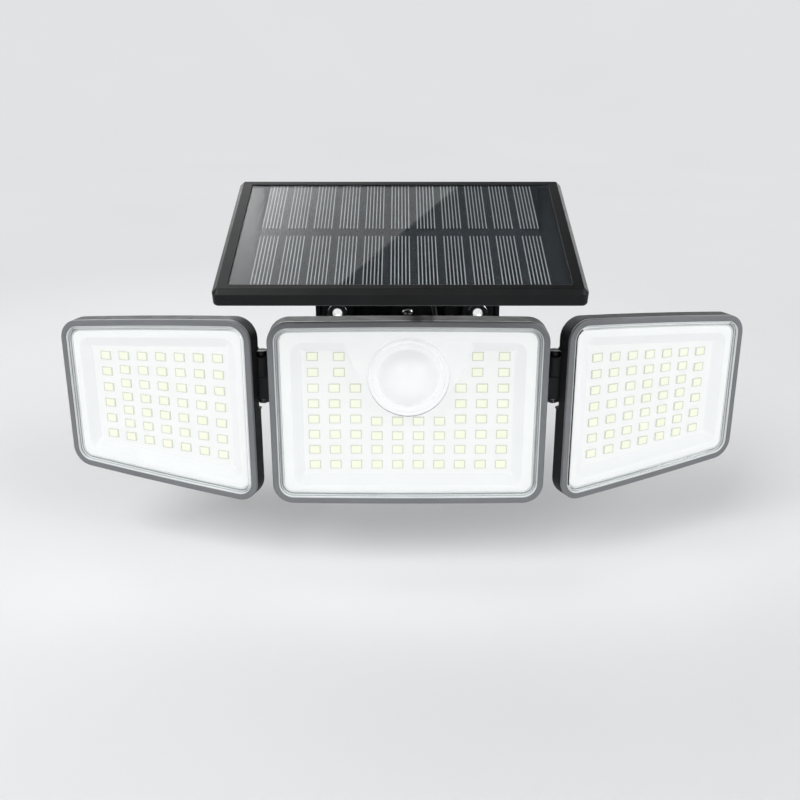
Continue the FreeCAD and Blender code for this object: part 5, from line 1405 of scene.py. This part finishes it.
# ---------------------------------------------------------------- studio
@dataclass
class Studio:
    """Pale floor, soft lamps and the camera at the photograph's viewing angle."""

    floor_z: float = -0.135
    floor_shade: tuple[str, str] = ("#E0E1E2", "#E2E3E4")
    floor_rings: tuple[float, ...] = (0.0, 250.0, 600.0, 1200.0)  # radii on the flat, in millimetres
    wall_r: float = 3000.0
    wall_rise: float = 1500.0
    bend: float = 900.0
    bend_steps: int = 12
    floor_plain: Point = (0.3, 0.9)  # distance in metres over which shadows on the floor fade out
    eye: Triple = (-0.0043, -0.560, 0.1457)
    pitch_down: float = 19.7
    lens_mm: float = 45.0
    sensor_mm: float = 36.0
    sky_edge: Point = (0.5, 0.64)    # sine of the height at which the surround turns dark
    sky_level: Point = (0.9, 0.05)   # its brightness below and above that
    # soft lamps: name, place in metres and brightness
    lamps: tuple[tuple[str, Triple, float], ...] = (
        ("key", (-1.0, -1.4, 1.5), 7.5), ("fill", (1.3, -1.3, 0.9), 4.0), ("rear", (1.4, 1.5, 0.9), 1.6))
    lamp_size: Point = (1.2, 1.2)
    # rectangle whose straight edge shows as the diagonal in the panel's cover
    sheen_place: Triple = (-0.4966, 1.2895, 0.7269)
    sheen_across: Triple = (-0.6336, 0.5786, -0.5142)
    sheen_normal: Triple = (0.0, 0.6645, 0.7477)
    sheen_fade: Triple = (-0.8426, 0.4033, -0.3585)
    sheen_size: Point = (1.5, 1.9)
    sheen_run: Point = (-0.74, -0.46)  # metres along sheen_fade over which it grows brighter
    sheen_power: float = 3.0
    sheen_level: Point = (1.5, 0.38)   # what the gradient adds at its end, and the level that it starts from

    def camera(self) -> None:
        """Make the camera."""
        data = bpy.data.cameras.new("camera")
        data.lens = self.lens_mm
        data.sensor_width = self.sensor_mm
        data.clip_start = 0.01
        data.clip_end = 100.0
        eye = bpy.data.objects.new("camera", data)
        eye.location = self.eye
        eye.rotation_euler = (math.radians(90 - self.pitch_down), 0.0, 0.0)
        bpy.context.scene.collection.objects.link(eye)
        bpy.context.scene.camera = eye

    def floor(self) -> None:
        """Make a round pale floor that turns up into a low wall far outside every view."""
        ground, bend = self.floor_z / MM, self.bend
        flat = self.wall_r - bend
        profile = [(radius, ground) for radius in (*self.floor_rings, flat)]
        for step in range(1, self.bend_steps + 1):
            angle = math.pi / 2 * step / self.bend_steps
            profile.append((flat + bend * math.sin(angle), ground + bend * (1 - math.cos(angle))))
        profile.append((self.wall_r, ground + self.wall_rise))
        shape = bmesh.new()
        lathe(shape, profile, False)
        upright = Matrix.Rotation(math.radians(90), 4, "X")
        floor = mesh_piece("floor", shape, upright, 60)
        paper = Finish("floor_pale_matt")
        material, tree, shader = paper.start()
        colour = paper.tint(tree, paper.noise(tree, 400.0), *self.floor_shade)
        tree.links.new(colour, shader.inputs["Base Color"])
        shader.inputs["Roughness"].default_value = 0.9
        shader.inputs["Specular IOR Level"].default_value = 0.1
        # far from the light, the eye and every gloss see the plain shade of the paper
        place = add_node(tree, "ShaderNodeTexCoord").outputs["Object"]
        away = add_node(tree, "ShaderNodeVectorMath", {0: place}, operation="LENGTH").outputs["Value"]
        far = add_node(tree, "ShaderNodeMapRange", {
            "Value": away, "From Min": self.floor_plain[0], "From Max": self.floor_plain[1]},
                       interpolation_type="SMOOTHSTEP").outputs["Result"]
        rays = add_node(tree, "ShaderNodeLightPath").outputs
        seen = add_node(tree, "ShaderNodeMath", {0: rays["Is Camera Ray"], 1: rays["Is Glossy Ray"]},
                        operation="MAXIMUM").outputs[0]
        seen = add_node(tree, "ShaderNodeMath", {0: seen, 1: rays["Is Transmission Ray"]},
                        operation="MAXIMUM").outputs[0]
        mixed = add_node(tree, "ShaderNodeMath", {0: far, 1: seen}, operation="MULTIPLY").outputs[0]
        plain = add_node(tree, "ShaderNodeEmission", {"Color": colour, "Strength": 1.0})
        overlay(tree, shader, mixed, plain.outputs["Emission"])
        floor.data.materials.append(material)

    def lamp(self, name: str, place: Triple, size: tuple[float, float], radiance: float,
             turn: Matrix | None = None) -> bpy.types.Object:
        """Make a soft rectangular lamp that no camera sees.

        Args:
            name: Name of the lamp.
            place: Its middle, in metres.
            size: Width and height in metres.
            radiance: Brightness of its face, where 1 renders as white.
            turn: Its axes; without it, the lamp faces the middle of the light.

        Returns:
            The lamp.
        """
        data = bpy.data.lights.new(name, "AREA")
        data.shape, data.size, data.size_y = "RECTANGLE", size[0], size[1]
        data.energy = radiance * math.pi * size[0] * size[1]
        lamp = bpy.data.objects.new(name, data)
        middle = Vector((0.0, -0.05, 0.0))
        facing = (middle - Vector(place)).to_track_quat("-Z", "Y").to_matrix()
        lamp.matrix_world = Matrix.Translation(place) @ (turn or facing).to_4x4()
        lamp.visible_camera = False
        bpy.context.scene.collection.objects.link(lamp)
        return lamp

    def world(self) -> None:
        """Make a pale surround that is dark overhead, as in a studio with a black ceiling."""
        world = bpy.data.worlds.new("studio")
        world.use_nodes = True
        tree = world.node_tree
        way = add_node(tree, "ShaderNodeTexCoord").outputs["Generated"]
        height = add_node(tree, "ShaderNodeSeparateXYZ", {0: way}).outputs[2]
        strength = add_node(tree, "ShaderNodeMapRange", {
            "Value": height, "From Min": self.sky_edge[0], "From Max": self.sky_edge[1],
            "To Min": self.sky_level[0], "To Max": self.sky_level[1]},
            interpolation_type="SMOOTHSTEP").outputs["Result"]
        shade = tree.nodes["Background"]
        shade.inputs["Color"].default_value = linear("#FFFFFF")
        tree.links.new(strength, shade.inputs["Strength"])
        bpy.context.scene.world = world

    def sheen(self) -> None:
        """Make the lamp that the panel's cover mirrors, brighter towards the lower left."""
        across, normal = Vector(self.sheen_across), Vector(self.sheen_normal)
        axes = Matrix((across, normal.cross(across), normal)).transposed()
        sheen = self.lamp("sheen", self.sheen_place, self.sheen_size, 1.0, axes)
        sheen.data.use_nodes = True
        tree = sheen.data.node_tree
        place = add_node(tree, "ShaderNodeNewGeometry").outputs["Position"]
        from_middle = add_node(tree, "ShaderNodeVectorMath", {0: place, 1: self.sheen_place},
                               operation="SUBTRACT").outputs["Vector"]
        along = add_node(tree, "ShaderNodeVectorMath", {0: from_middle, 1: self.sheen_fade},
                         operation="DOT_PRODUCT").outputs["Value"]
        share = add_node(tree, "ShaderNodeMapRange", {
            "Value": along, "From Min": self.sheen_run[0], "From Max": self.sheen_run[1]}).outputs["Result"]
        curve = add_node(tree, "ShaderNodeMath", {0: share, 1: self.sheen_power},
                         operation="POWER").outputs[0]
        level = add_node(tree, "ShaderNodeMath", {0: curve, 1: self.sheen_level[0], 2: self.sheen_level[1]},
                         operation="MULTIPLY_ADD").outputs[0]
        tree.links.new(level, tree.nodes["Emission"].inputs["Strength"])

    def build(self) -> None:
        """Make the whole studio."""
        bpy.context.scene.view_settings.view_transform = "Standard"
        self.camera()
        self.floor()
        self.world()
        for name, place, radiance in self.lamps:
            self.lamp(name, place, self.lamp_size, radiance)
        self.sheen()
        LOG.info("studio is built")


def main() -> None:
    """Build the light in order and report each piece."""
    logging.basicConfig(level=logging.INFO, format="%(name)s: %(message)s", stream=sys.stdout)
    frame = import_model()
    palette = Palette()
    Studio().build()
    palette.paint_nodes(frame["nodes"])
    for stretch in leads():
        stretch.build(palette)
    package = led_pattern(palette)
    for head in lamp_heads():
        head.build(palette, package)
    panel = SolarPanel()
    panel.build(palette)
    Ferrules().build(palette)
    for screws in screw_sets(panel.place()):
        screws.build(palette)


if __name__ == "__main__":
    main()
